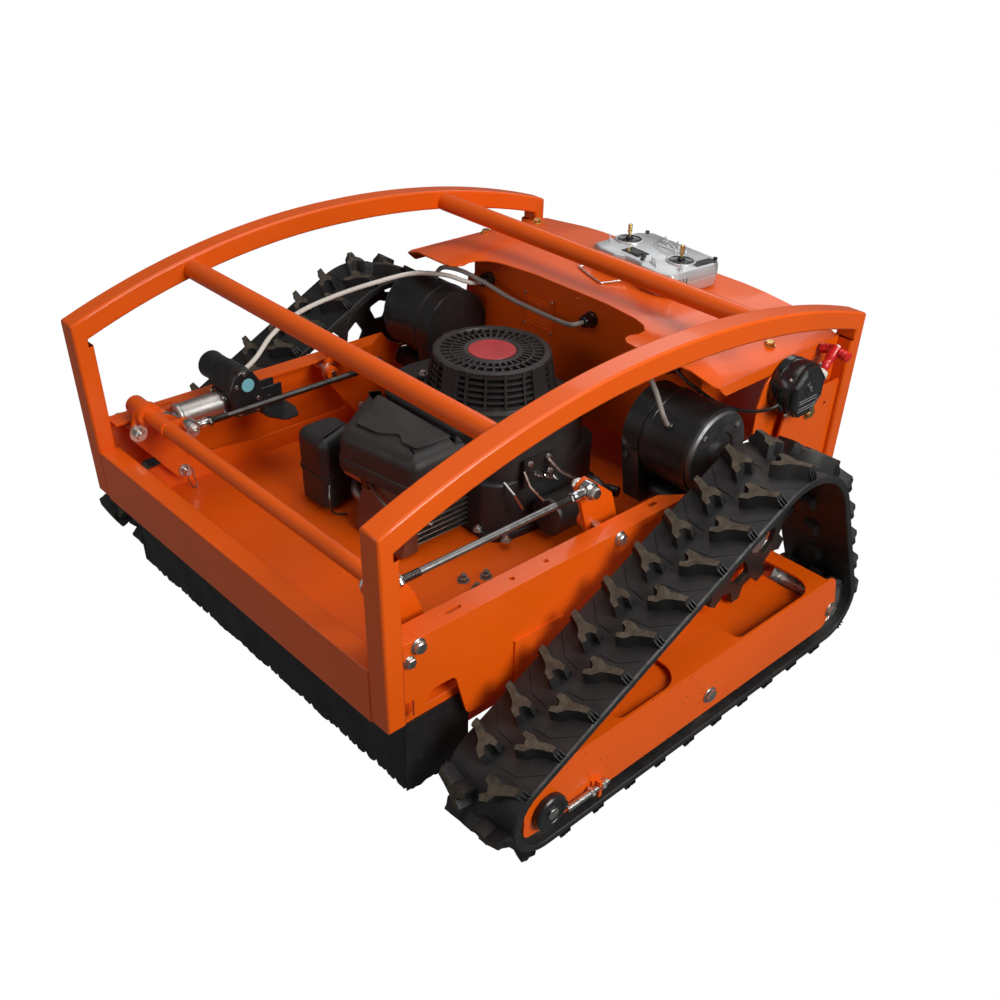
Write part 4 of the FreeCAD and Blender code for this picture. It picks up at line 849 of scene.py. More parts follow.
# crankcase, finned barrel, heat shield and pipes
bm = bmesh.new()
poly_slab(bm, [(-150, 440, 30), (150, 440, 40), (165, 600, 40), (120, 735, 40), (-120, 735, 40), (-165, 600, 40)], 200, 309, 0, 6, 20)
poly_slab(bm, [(-164, 436, 30), (164, 436, 40), (178, 600, 40), (130, 745, 40), (-130, 745, 40), (-178, 600, 40)], 200, 214, 0, 3, 20)
bm_box(bm, P(-44, 330, 212), P(74, 442, 306), 1)
for k in range(9):
    z = 214 + 10.4 * k
    bm_box(bm, P(-60, 318, z), P(90, 440, z + 2.2), 1)
fix(bm)
obj_from(bm, "crankcase", ["plastic", "alu_dark"], "deck", ("engine_block",), 40, 0.0006)
bm = bmesh.new()
bm_prism(bm, [(285 - 539, 205), (303 - 539, 272), (318 - 539, 300), (322 - 539, 300), (322 - 539, 205)], "x", -40, 96, 0)
for v in bm.verts:
    v.co = Vector((v.co.x / 1000, v.co.y / 1000, v.co.z / 1000))
fix(bm)
obj_from(bm, "heat_shield", ["shield"], "deck", (), 30, 0.004, 3)
bm = bmesh.new()
bm_cyl(bm, P(-92, 318, 296), (1, 0.12, -0.05), 0.017, 0.052, 24, 0, 0.004)
bm_cyl(bm, P(-40, 322, 294), (1, 0.1, 0), 0.021, 0.020, 24, 1, 0.003)
bm_tube(bm, spline_pts([P(-96, 340, 260), P(-72, 318, 252), P(-48, 322, 238), P(-36, 330, 220)], 6), 0.011, 12, 2)
bm_tube(bm, spline_pts([P(-18, 308, 296), P(30, 296, 288), P(74, 300, 276), P(112, 340, 262)], 6), 0.0028, 8, 2)
bm_tube(bm, spline_pts([P(-105, 282, 262), P(-92, 272, 240), P(-90, 276, 214), P(-84, 300, 204)], 6), 0.0022, 8, 3)
fix(bm)
obj_from(bm, "intake_parts", ["copper", "gloss_black", "alu_dark", "rod_dark"], "deck", (), 40)
# governor levers, springs and screws on the near side of the engine
bm = bmesh.new()
bm_tube(bm, [P(178, 548, 344), P(196, 560, 322), P(206, 590, 300)], 0.0028, 8, 0)
bm_tube(bm, [P(168, 500, 330), P(186, 498, 310), P(206, 512, 286), P(208, 560, 272)], 0.0024, 8, 0)
bm_tube(bm, [P(150, 470, 312), P(176, 470, 300), P(182, 486, 268)], 0.0024, 8, 0)
sp = [P(172 + 4.6 * math.cos(a), 520 + 60 * a / 50.0, 322 - 30 * a / 50.0 + 4.6 * math.sin(a)) for a in [i * 0.7 for i in range(72)]]
bm_tube(bm, sp, 0.0009, 5, 0)
bm_box(bm, P(166, 500, 296), P(169, 566, 350), 2)
bm_box(bm, P(169, 540, 318), P(184, 556, 321), 2)
for (x, y, z) in ((170, 512, 342), (170, 552, 308), (170, 556, 342), (182, 548, 322)):
    bm_bolt(bm, P(x, y, z), (1, 0, 0), 0.0052, 0.004, 0)
for (x, y, z) in ((178, 452, 214), (-170, 460, 214), (150, 700, 214), (-150, 700, 214), (120, 436, 214)):
    bm_bolt(bm, P(x, y, z), (0, 0, 1), 0.0075, 0.006, 0, True, 0.004)
fix(bm)
obj_from(bm, "governor", ["zinc", "bright", "black_steel"], "deck", (), 35)
# bolts and nuts standing on the deck
bm = bmesh.new()
for (x, y) in ((205, 330), (240, 330), (222, 366), (-230, 330), (-230, 520), (300, 250)):
    bm_bolt(bm, P(x, y, 200), (0, 0, 1), 0.0085, 0.007, 0, True, 0.006)
fix(bm)
obj_from(bm, "deck_bolts", ["alu_dark"], "deck", (), 35)
# silencer with end caps and an outlet pipe
bm = bmesh.new()
bm_lathe(bm, P(206, 520, 248), (0, 1, 0), [(0, 0.028), (0.002, 0.035), (0.006, 0.037), (0.012, 0.037), (0.014, 0.0355), (0.116, 0.0355), (0.118, 0.037), (0.124, 0.037), (0.128, 0.035), (0.130, 0.028)], 40, 0)
bm_tube(bm, spline_pts([P(206, 648, 248), P(206, 668, 248), P(214, 680, 246), P(228, 684, 246)], 6), 0.010, 16, 0)
fix(bm)
obj_from(bm, "silencer_can", ["black_steel"], "deck", ("silencer",), 40)


# ------------------------------------------------------------------ linkage hardware
def rod_end(bm, eye, side, direction, w, r_eye, bore, mi_end, mi_nut, mi_ball):
    """forged rod end: ball race ring, tapering shank and jam nut. direction +1 runs to the rear"""
    e = Vector(eye)
    half = w / 2000.0
    ax = Vector((1, 0, 0))
    bm_lathe(bm, e - ax * half, ax, [(0, bore), (0, r_eye - 0.0025), (0.0022, r_eye), (2 * half - 0.0022, r_eye), (2 * half, r_eye - 0.0025), (2 * half, bore)], 36, mi_end, False)
    bm_lathe(bm, e - ax * (half + 0.0008), ax, [(0, 0.0061), (0, bore + 0.001), (half, bore + 0.0016), (2 * half + 0.0016, bore + 0.001), (2 * half + 0.0016, 0.0061)], 28, mi_ball, False)
    d = Vector((0, direction, 0))
    bm_lathe(bm, e + d * (r_eye * 0.80), d, [(0, 0.0085), (0.006, 0.0075), (0.012, 0.0082), (0.022, 0.0082), (0.023, 0.0078)], 24, mi_end)
    bm_hex(bm, e + d * (r_eye * 0.80 + 0.0232), d, 0.0086, 0.0075, mi_nut)


def tie_rod(node, mat, x0, w, ey, ez, mi_front):
    bm = bmesh.new()
    xc = x0 + w / 2
    f = P(xc, ey, ez)
    r = P(xc, ey + 403, ez)
    rod_end(bm, f, 1, 1, w, 0.0148, 0.0100, 1, 1 if mi_front else 2, 3)
    rod_end(bm, r, 1, -1, w, 0.0148, 0.0100, 1, 2, 3)
    L = (r - f).length
    bm_cyl(bm, f + Vector((0, 0.034, 0)), (0, 1, 0), 0.0056, L - 0.068, 24, 0)
    # cut threads at both ends
    for s0 in (0.042, L - 0.042 - 0.030):
        for k in range(20):
            bm_lathe(bm, f + Vector((0, s0 + 0.0015 * k, 0)), (0, 1, 0), [(0, 0.0055), (0.00075, 0.0062), (0.0015, 0.0055)], 20, 2, False)
    fix(bm)
    return obj_from(bm, node + "_detail", [mat, "bright", "rod_dark", "zinc"], NODE_BODY[node], (node,), 38)


tie_rod("tie_rod_right", "rod", 364.5, 18.0, 34.0, 414.0, True)
tie_rod("tie_rod_left", "rod_dark", -274.5, 17.5, 116.0, 367.0, False)

# pins, washers, nuts and spring clips on the levers
for body, py, low in (("lift_crank", 62, False), ("rear_crank_right", 465, False), ("rear_crank_left", 465, True)):
    bm = bmesh.new()
    sides = (1, -1) if body == "lift_crank" else ((1,) if body.endswith("right") else (-1,))
    for sx in sides:
        if sx > 0:
            eye = P(364, py - 28, 414)
            bm_bolt(bm, eye + Vector((0.0190, 0, 0)), (1, 0, 0), 0.0098, 0.0085, 0, True, 0.0)
            bm_bolt(bm, P(356, py - 28, 414), (-1, 0, 0), 0.0098, 0.0085, 0, True, 0.004)
        else:
            eye = P(-256, py + 54, 367)
            bm_bolt(bm, eye, (1, 0, 0), 0.0098, 0.0085, 0, True, 0.004)
            bm_bolt(bm, P(-280, py + 54, 367), (-1, 0, 0), 0.0098, 0.0075, 0, True)
        # deck pin's inner end with a hair-pin clip
        q = P(sx * 356, py + 72, 237)
        bm_cyl(bm, q, (-sx, 0, 0), 0.0120, 0.003, 28, 0, 0.0005)
        bm_cyl(bm, q + Vector((-sx * 0.003, 0, 0)), (-sx, 0, 0), 0.0060, 0.014, 20, 0, 0.001)
        k0 = q + Vector((-sx * 0.012, 0, 0))
        clip = [k0 + Vector((0, 0.000, 0.012)), k0 + Vector((0, 0.0, -0.016)), k0 + Vector((-sx * 0.002, 0.004, -0.030)), k0 + Vector((-sx * 0.002, 0.012, -0.034)),
                k0 + Vector((-sx * 0.002, 0.014, -0.024)), k0 + Vector((-sx * 0.003, 0.009, -0.012)), k0 + Vector((-sx * 0.003, 0.010, 0.002)), k0 + Vector((-sx * 0.003, 0.005, 0.010))]
        bm_tube(bm, spline_pts(clip, 5), 0.0013, 8, 1)
        # pivot: large washer and nut inside the lever
        p0 = P(sx * 356, py, 338)
        bm_cyl(bm, p0, (-sx, 0, 0), 0.0165, 0.0025, 32, 0, 0.0005)
        bm_bolt(bm, p0 + Vector((-sx * 0.0025, 0, 0)), (-sx, 0, 0), 0.0105, 0.010, 0, False, 0.005)
    fix(bm)
    obj_from(bm, body + "_pins", ["zinc", "rod"], body, (), 35)

# bolts through the side plates
bm = bmesh.new()
for sx in (1, -1):
    for py in (62, 465):
        bm_cyl(bm, P(sx * 422, py, 338), (sx, 0, 0), 0.0125, 0.0022, 32, 0, 0.0005)
        bm_lathe(bm, P(sx * 424.2, py, 338), (sx, 0, 0), [(0, 0.0095), (0.006, 0.0095), (0.0075, 0.008), (0.0078, 0.0)], 28, 0, False)
        bm_cyl(bm, P(sx * 338, py, 338), (sx, 0, 0), 0.0060, 0.086, 20, 0)
    # a second bolt with a nut below the front pivot
    bm_cyl(bm, P(sx * 422, 46, 318), (sx, 0, 0), 0.0100, 0.002, 28, 0, 0.0004)
    bm_hex(bm, P(sx * 424, 46, 318), (sx, 0, 0), 0.0085, 0.006, 0)
fix(bm)
obj_from(bm, "plate_pivots", ["zinc"], "chassis", ("pivot_bolts",), 35)
bm = bmesh.new()
for sx in (1, -1):
    for (y, z) in ((404, 230), (560, 236)):
        bm_bolt(bm, P(sx * 422, y, z), (sx, 0, 0), 0.0078, 0.0055, 0, True)
fix(bm)
obj_from(bm, "frame_bolts", ["rod_dark"], "chassis", ("plate_bolts",), 35)
bm = bmesh.new()
for sx in (1, -1):
    bm_cyl(bm, P(sx * 422, 960, 398), (sx, 0, 0), 0.0145, 0.0025, 36, 0, 0.0006)
    bm_bolt(bm, P(sx * 424.5, 960, 398), (sx, 0, 0), 0.0108, 0.0055, 0, False)
# two bolts on each wing of the lid
for (x, y) in ((-365, 884), (-336, 1005), (365, 884), (336, 1005)):
    z = 531.0 - (abs(x) - 350) * 18.0 / 52.0 if abs(x) > 350 else 531.0 + (350 - abs(x)) * 0.1
    bm_bolt(bm, P(x, y, z - 0.2), (0, 0, 1), 0.0088, 0.006, 0, True)
fix(bm)
obj_from(bm, "yellow_bolts", ["brass"], "chassis", ("anchor_bolts",), 35)


# ------------------------------------------------------------------ actuator
AX = -325.0
bm = bmesh.new()
# aluminium tube with its front cap
bm_lathe(bm, P(AX, 121, 363), (0, 1, 0), [(0, 0.0095), (0, 0.0195), (0.0015, 0.0215), (0.006, 0.0220), (0.0075, 0.0205), (0.096, 0.0205), (0.096, 0.0)], 44, 0, False)
for a in (45, 135, 225, 315):
    ca, sa = math.cos(math.radians(a)), math.sin(math.radians(a))
    bm_cyl(bm, P(AX + 15.2 * ca, 120.4, 363 + 15.2 * sa), (0, 1, 0), 0.0026, 0.003, 14, 2)
# clamp collar between the tube and the gearbox
bm_prism(bm, [(-347, 341), (-303, 341), (-299, 350), (-299, 378), (-306, 388), (-344, 388), (-351, 378), (-351, 350)], "y", 206 - 539, 219 - 539, 1)
for v in bm.verts:
    if v.co.length > 20:
        v.co = v.co / 1000.0
fix(bm)
obj_from(bm, "actuator_tube", ["alu", "gloss_black", "rod_dark"], "actuator", (), 38, 0.0006)
bm = bmesh.new()
gb = round_pts([(215, 344, 8), (268, 343, 8), (274, 398, 24), (254, 430, 22), (226, 432, 20), (208, 396, 16)], 8, 8)
gi = offset_poly(gb, -4.0)
n = len(gb)
layers = [(gb, -345.0), (gb, -286.0), (offset_poly(gb, -1.2), -283.0), (gi, -281.2)]
rg = [[bm.verts.new(P(x, a, b)) for a, b in poly] for poly, x in layers]
for a in range(len(rg) - 1):
    for k in range(n):
        q = (k + 1) % n
        bm.faces.new((rg[a][k], rg[a][q], rg[a + 1][q], rg[a + 1][k])).material_index = 0
bm.faces.new(rg[-1]).material_index = 0
bm.faces.new(rg[0][::-1]).material_index = 0
# parting seam
seam = offset_poly(gb, 0.9)
A = [bm.verts.new(P(-306, a, b)) for a, b in seam]
B = [bm.verts.new(P(-303, a, b)) for a, b in seam]
for k in range(n):
    q = (k + 1) % n
    bm.faces.new((A[k], A[q], B[q], B[k]))
bm.faces.new(A[::-1])
bm.faces.new(B)
bm_lathe(bm, P(-403, 240, 402), (1, 0, 0), [(0, 0.018), (0.0015, 0.024), (0.004, 0.026), (0.008, 0.026), (0.0085, 0.0254), (0.042, 0.0254), (0.0425, 0.026), (0.062, 0.026)], 48, 0)
bm_cyl(bm, P(-404, 240, 402), (1, 0, 0), 0.008, 0.003, 24, 0, 0.0005)
bm_box(bm, P(AX - 11, 262, 338), P(AX + 11, 302, 362), 0)
bm_cyl(bm, P(AX - 11, 300, 350), (1, 0, 0), 0.0125, 0.022, 28, 0, 0.001)
bm_cyl(bm, P(-281.1, 244, 402), (1, 0, 0), 0.0125, 0.0009, 36, 1, 0.0002)
for (y, z) in ((222, 404), (262, 372), (240, 424), (224, 352), (258, 352)):
    bm_cyl(bm, P(-282.6, y, z), (1, 0, 0), 0.0040, 0.0030, 16, 2, 0.0006)
for (x, z) in ((-345, 352), (-305, 352), (-345, 380), (-305, 380)):
    bm_cyl(bm, P(x, 203.2, z), (0, 1, 0), 0.0038, 0.004, 16, 2, 0.0006)
fix(bm)
obj_from(bm, "actuator_gear", ["black_paint", "blue", "zinc"], "actuator", ("actuator",), 38, 0.0008)

# ------------------------------------------------------------------ drive motors
bm = bmesh.new()
for sx in (1, -1):
    bm_lathe(bm, P(sx * 300, 715, 393), (sx, 0, 0), [(0, 0.076), (0.002, 0.078), (0.012, 0.078), (0.0128, 0.0772), (0.086, 0.0772), (0.088, 0.078), (0.1, 0.078), (0.1, 0.074)], 64, 0, False)
    bm_lathe(bm, P(sx * 400, 715, 393), (sx, 0, 0), [(0, 0.075), (0.006, 0.075), (0.0095, 0.071), (0.0095, 0.040), (0.0060, 0.038), (0.0060, 0.022), (0.014, 0.0205), (0.014, 0.0)], 64, 1, False)
    for k in range(4):
        a = math.radians(45 + 90 * k)
        bm_bolt(bm, P(sx * 409.5, 715 + 60 * math.cos(a), 393 + 60 * math.sin(a)), (sx, 0, 0), 0.0058, 0.004, 2, False)
    # cable entry
    bm_cyl(bm, P(sx * 346 if sx > 0 else -330, 655 if sx > 0 else 719.6, 440 if sx > 0 else 469), (0, -0.63, 0.77) if sx > 0 else (0, 0.05, 1), 0.0085, 0.006, 20, 0, 0.001)
fix(bm)
obj_from(bm, "motor_cans", ["black_paint", "cap", "zinc"], "chassis", ("drive_motors",), 38)

# ------------------------------------------------------------------ recoil starter
bm = bmesh.new()
RC = P(404, 890, 470)
bm_lathe(bm, RC, (1, 0, 0), [(0, 0.046), (0.002, 0.0495), (0.014, 0.050), (0.015, 0.0485), (0.018, 0.0485), (0.019, 0.050), (0.040, 0.050), (0.043, 0.0485)], 56, 0)
oct_ = [(0.0455 * math.cos(math.radians(22.5 + 45 * k)), 0.0455 * math.sin(math.radians(22.5 + 45 * k))) for k in range(8)]


def octa(s, x):
    return [bm.verts.new(Vector((x, RC.y + a * s, RC.z + b * s))) for a, b in oct_]


L8 = [octa(1.06, 0.444), octa(1.06, 0.452), octa(1.0, 0.4555), octa(0.93, 0.4557), octa(0.915, 0.4545), octa(0.88, 0.4545), octa(0.865, 0.4560)]
for a in range(len(L8) - 1):
    for k in range(8):
        q = (k + 1) % 8
        bm.faces.new((L8[a][k], L8[a][q], L8[a + 1][q], L8[a + 1][k])).material_index = 0
bm.faces.new(L8[-1])
bm.faces.new(L8[0][::-1])
bm_lathe(bm, Vector((0.4560, RC.y, RC.z + 0.008)), (1, 0, 0), [(0.0, 0.0135), (0.0014, 0.0130), (0.0016, 0.0100), (0.0004, 0.0092), (0.0004, 0.006), (0.002, 0.0055), (0.002, 0.0)], 30, 0, False)
bm_cyl(bm, Vector((0.4560, RC.y, RC.z + 0.008)), (1, 0, 0), 0.0046, 0.0024, 20, 2, 0.0005)
for zz in (-0.012, -0.017, -0.026, -0.031):
    bm_box(bm, (0.4560, RC.y - 0.026, RC.z + zz), (0.4567, RC.y + 0.026, RC.z + zz + 0.0012), 1)
pull = Vector((0, math.cos(math.radians(45)), math.sin(math.radians(45))))
hb = P(434, 957, 484)
bm_lathe(bm, hb - pull * 0.050, pull, [(0, 0.017), (0.030, 0.0145), (0.044, 0.0125), (0.0475, 0.0118), (0.0497, 0.0100), (0.0497, 0.0042), (0.030, 0.0042)], 32, 0, False)
bm_lathe(bm, hb - pull * 0.012, pull, [(0, 0.0128), (0.002, 0.0136), (0.010, 0.0122), (0.0115, 0.0105)], 28, 3)
bm_tube(bm, [P(430, 850, 440), P(430, 843, 450), P(430, 842, 452)], 0.0062, 14, 0)
for (a, b) in ((0.040, 0.036), (-0.044, 0.030), (-0.040, -0.036), (0.042, -0.034)):
    bm_cyl(bm, Vector((0.4405, RC.y + a, RC.z + b)), (1, 0, 0), 0.0035, 0.004, 14, 2, 0.0006)
fix(bm)
obj_from(bm, "recoil_shell", ["gloss_black", "silver", "zinc", "cable_white"], "chassis", ("recoil_housing",), 36, 0.0004)
bm = bmesh.new()
bm_lathe(bm, hb, pull, [(0, 0.0066), (0.002, 0.0080), (0.012, 0.0092), (0.014, 0.0082), (0.020, 0.0082), (0.022, 0.0092), (0.034, 0.0100), (0.046, 0.0105)], 28, 0)
bc = hb + pull * 0.042 + Vector((0, 0, -0.003))
bar = []
for k in range(25):
    t = -1 + 2 * k / 24.0
    bar.append(bc + Vector((0.001 + 0.0295 * t, 0, 0)) - pull * (0.004 * t * t))
bm_tube(bm, bar, [0.0055 if abs(-1 + 2 * k / 24.0) > 0.99 else (0.0088 + 0.0006 * math.cos(k * 1.9)) for k in range(25)], 24, 0)
bm_cyl(bm, bc + pull * 0.0075, pull, 0.0045, 0.004, 18, 1, 0.001)
fix(bm)
obj_from(bm, "recoil_grip", ["red", "white"], "pull_handle", ("pull_handle",), 45)

# ------------------------------------------------------------------ transmitter
TM = Matrix.Translation(P(52, 939, 545)) @ Matrix.Rotation(math.radians(-5), 4, "Z")


def T(x, y, z):
    return TM @ Vector((x / 1000.0, y / 1000.0, z / 1000.0))


def tx_obj(bm, name, mats, rep=(), bevel=0.0, body="chassis", smooth=38):
    fix(bm)
    return obj_from(bm, name, mats, body, rep, smooth, bevel)


bm = bmesh.new()
HL, HW = 109.0, 79.0
case = round_pts([(-HL, -HW + 14), (-HL + 30, -HW), (-34, -HW), (-18, -HW + 12), (18, -HW + 12), (34, -HW), (HL - 30, -HW), (HL, -HW + 14), (HL, HW - 30), (HL - 22, HW), (-HL + 22, HW), (-HL, HW - 30)], 9, 4)
ly = [(offset_poly(case, -8.0), 0.2), (offset_poly(case, -2.0), 6.0), (case, 20.0), (case, 24.0), (offset_poly(case, -0.9), 24.6), (offset_poly(case, -0.9), 25.8), (case, 26.4), (offset_poly(case, -0.6), 34.0), (offset_poly(case, -5.0), 42.6), (offset_poly(case, -8.5), 44.0)]
rg = [[bm.verts.new(T(a, b, z)) for a, b in poly] for poly, z in ly]
m = len(case)
for a in range(len(rg) - 1):
    for k in range(m):
        q = (k + 1) % m
        bm.faces.new((rg[a][k], rg[a][q], rg[a + 1][q], rg[a + 1][k])).material_index = 0
bm.faces.new(rg[0][::-1])
bm.faces.new(rg[-1])
tx_obj(bm, "tx_shell", ["silver"], ("transmitter_case",), 0.0006)
bm = bmesh.new()
for gx in (-80.0, 60.0):
    o = T(gx, 4, 0)
    up = Vector((0, 0, 1))
    bm_lathe(bm, o, up, [(0.0440, 0.0285), (0.0462, 0.0280), (0.0470, 0.0262), (0.0462, 0.0238)], 44, 0, False)
    bm_lathe(bm, o, up, [(0.0462, 0.0238), (0.0445, 0.0200), (0.0442, 0.0125)], 44, 1, False)
    bm_lathe(bm, o, up, [(0.0442, 0.0125), (0.0458, 0.0098), (0.0466, 0.0)], 32, 1, False)
# dark panels: screen and switch fields
for (x0, y0, x1, y1, z0, mi) in ((-44, -50, 2, -20, 44.0, 1), (-38, -46, -4, -24, 45.0, 2), (78, 8, 98, 60, 44.0, 1), (-30, 30, 40, 36, 44.0, 0)):
    vs = [bm.verts.new(T(a, b, z)) for z in (z0 - 1, z0 + 1.1) for a, b in ((x0, y0), (x1, y0), (x1, y1), (x0, y1))]
    for f4 in ((0, 3, 2, 1), (4, 5, 6, 7), (0, 1, 5, 4), (1, 2, 6, 5), (2, 3, 7, 6), (3, 0, 4, 7)):
        bm.faces.new([vs[i] for i in f4]).material_index = mi
# knobs, toggles and their collars
for (x, y, tilt) in ((-98, -28, -0.25), (-18, 46, 0.2), (4, 54, -0.2), (26, 50, 0.25), (92, -30, 0.3), (36, -46, 0.15), (50, -50, -0.3), (-34, 56, 0.15)):
    o = T(x, y, 43.8)
    bm_cyl(bm, o, (0, 0, 1), 0.0050, 0.0022, 18, 0, 0.0004)
    bm_lathe(bm, o + Vector((0, 0, 0.002)), (tilt, -0.25, 1), [(0, 0.0019), (0.007, 0.0014), (0.0095, 0.0019), (0.0105, 0.0012)], 14, 0)
for (x, y) in ((-6, -46), (6, -38), (16, -52), (88, 66), (-90, 62)):
    bm_cyl(bm, T(x, y, 43.8), (0, 0, 1), 0.0042, 0.0045, 18, 1, 0.0008)
# carrying hoop
bm_tube(bm, spline_pts([T(-30, 22, 44), T(-22, 25, 53), T(-2, 26, 56), T(20, 25, 53), T(28, 22, 44)], 6), 0.0019, 10, 0)
# grip ribs on the near corner and side seam
for k in range(3):
    bm_tube(bm, [T(109.4, -46 + 9 * k, 8), T(109.4, -46 + 9 * k, 34)], 0.0007, 8, 1)
tx_obj(bm, "tx_details", ["silver", "gloss_black", "screen"])
# bent wire stand
bm = bmesh.new()
wire = [T(-96, -60, 10), T(-104, -92, 3.5), T(-100, -100, 2.5), T(-28, -118, 2.5), T(-16, -112, 2.5), T(4, -76, 8)]
bm_tube(bm, spline_pts(wire, 8), 0.0019, 12, 0)
tx_obj(bm, "tx_stand", ["bright"])
for nm, gx in (("left", -80.0), ("right", 60.0)):
    bm = bmesh.new()
    o = T(gx, 4, 44.3)
    bm_lathe(bm, o - Vector((0, 0, 0.0055)), (0, 0, 1), [(0, 0.0), (0.001, 0.004), (0.004, 0.0072), (0.0085, 0.0078), (0.012, 0.0055), (0.0135, 0.003)], 28, 1)
    bm_lathe(bm, o + Vector((0, 0, 0.006)), (0, 0, 1), [(0, 0.0026), (0.006, 0.0026), (0.007, 0.0040), (0.0095, 0.0044), (0.012, 0.0036), (0.014, 0.0044), (0.0165, 0.0036), (0.019, 0.0044), (0.0225, 0.0040), (0.024, 0.0022)], 20, 0)
    fix(bm)
    obj_from(bm, "tx_stick_" + nm, ["brass", "gloss_black"], "stick_" + nm, ("stick_" + nm,), 38)

# ------------------------------------------------------------------ glands and cables
bm = bmesh.new()
for gx, gz in ((-252, 481), (32, 488), (236, 470)):
    bm_lathe(bm, P(gx, 795, gz), (0, -1, 0), [(0, 0.0145), (0.003, 0.0148), (0.0035, 0.014), (0.010, 0.014), (0.0105, 0.0125)], 6 * 6, 0, False)
    bm_hex(bm, P(gx, 792.5, gz), (0, -1, 0), 0.0155, 0.007, 0)
    bm_lathe(bm, P(gx, 786, gz), (0, -1, 0), [(0, 0.0125), (0.002, 0.0128), (0.012, 0.0120), (0.017, 0.0100), (0.019, 0.0075), (0.019, 0.0046)], 30, 0, False)
    for k in range(12):
        a = 2 * math.pi * k / 12
        b0 = P(gx, 784, gz) + Vector((math.cos(a) * 0.0125, 0, math.sin(a) * 0.0125))
        bm_tube(bm, [b0, b0 + Vector((-math.cos(a) * 0.001, -0.010, -math.sin(a) * 0.001))], 0.0009, 6, 0)
    bm_cyl(bm, P(gx, 801, gz), (0, -1, 0), 0.0088, 0.008, 20, 0)
fix(bm)
obj_from(bm, "glands", ["gloss_black"], "chassis", ("cable_glands",), 36)


def cable(name, pts, r, mat, rep=()):
    path = spline_pts([P(*p) for p in pts], 7)
    bm = bmesh.new()
    bm_tube(bm, path, r / 1000.0, 16)
    fix(bm)
    o = obj_from(bm, name, [mat], "chassis", rep, 60)
    L = sum((path[i + 1] - path[i]).length for i in range(len(path) - 1))
    print("cable", name, round(L * 1000, 1))
    return o, path, L


cable("cable_lift", [(-352, 273, 392), (-372, 318, 402), (-398, 372, 424), (-410, 440, 446), (-404, 520, 462), (-380, 600, 478), (-345, 670, 492), (-296, 712, 494), (-262, 736, 486), (-252, 756, 481), (-252, 799, 481)], 4.5, "cable_white", ("control_cables",))
cable("cable_motor_right", [(236, 799, 470), (236, 756, 470), (240, 730, 474), (256, 704, 486), (282, 676, 492), (318, 650, 486), (342, 638, 468), (346, 646, 449), (346, 652, 442.6)], 4.5, "cable")
cable("cable_motor_left", [(32, 799, 488), (32, 753, 488), (12, 751, 482), (-24, 757, 477), (-90, 763, 474), (-160, 762, 477), (-220, 754, 490), (-272, 738, 503), (-312, 725, 502), (-328, 720, 488), (-330, 719.5, 472.6)], 4.5, "cable")
cable("cable_recoil", [(430, 842, 452), (420, 824, 444), (396, 800, 440), (360, 776, 446), (322, 760, 462), (280, 756, 478), (236, 760, 500), (190, 770, 516)], 3.0, "gloss_black")

# ------------------------------------------------------------------ control box front: louvre panel with screws
bm = bmesh.new()
vc = (-108.0, 455.0)
bm_box(bm, P(vc[0] - 42, 792.6, vc[1] - 36), P(vc[0] + 42, 795.2, vc[1] + 36), 0)
for k in range(8):
    z = vc[1] - 26 + 7.2 * k
    bm_prism(bm, [(789.4 - 539, z), (793.0 - 539, z + 3.6), (793.0 - 539, z)], "x", vc[0] - 30, vc[0] + 30, 0)
for v in bm.verts:
    if v.co.length > 20:
        v.co = v.co / 1000.0
for dx in (-37, 37):
    for dz in (-31, 31):
        bm_cyl(bm, P(vc[0] + dx, 792.8, vc[1] + dz), (0, -1, 0), 0.0034, 0.0022, 16, 1, 0.0006)
fix(bm)
obj_from(bm, "vent_panel", ["orange", "zinc"], "chassis", (), 30, 0.0005)

# ------------------------------------------------------------------ idler tensioners and wheel end caps
bm = bmesh.new()
for sx in (1, -1):
    x0, x1 = sorted((sx * 597.5, sx * 611))
    bm_lathe(bm, P(sx * 597.5, 150, 96), (sx, 0, 0), [(0, 0.0285), (0.002, 0.0300), (0.010, 0.0300), (0.013, 0.0270), (0.013, 0.0215), (0.0115, 0.0200), (0.0115, 0.0)], 44, 0, False)
    bm_box(bm, P(*((597.6, 150, 78) if sx > 0 else (-606, 150, 78))), P(*((606, 186, 92) if sx > 0 else (-597.6, 186, 92))), 0)
    bm_bolt(bm, P(sx * 609, 150, 96), (sx, 0, 0), 0.0105, 0.0035, 1, False)
    bm_cyl(bm, P(sx * 457.5, 150, 96), (sx, 0, 0), 0.011, 0.15, 28, 1)
    bm_cyl(bm, P(sx * 606, 184, 76), (0, 1, 0), 0.0050, 0.088, 20, 1, 0.0006)
    for k in range(34):
        bm_lathe(bm, P(sx * 606, 186 + 1.75 * k, 76), (0, 1, 0), [(0, 0.0049), (0.0009, 0.0056), (0.00175, 0.0049)], 16, 1, False)
    bm_hex(bm, P(sx * 606, 231, 76), (0, 1, 0), 0.0088, 0.008, 1)
    bm_hex(bm, P(sx * 606, 254.5, 76), (0, 1, 0), 0.0088, 0.008, 1)
fix(bm)
obj_from(bm, "tensioners", ["black_paint", "zinc"], "chassis", ("belt_tensioners",), 35, 0.0006)
bm = bmesh.new()
for sx in (1, -1):
    for (y, z) in ((523, 94), (876, 94)):
        bm_cyl(bm, P(sx * 457, y, z), (sx, 0, 0), 0.008, 0.144, 24, 0)
        bm_bolt(bm, P(sx * 597, y, z), (sx, 0, 0), 0.0118, 0.0058, 0, True)
fix(bm)
obj_from(bm, "axle_bolts", ["zinc"], "chassis", ("wheel_axles",), 35)

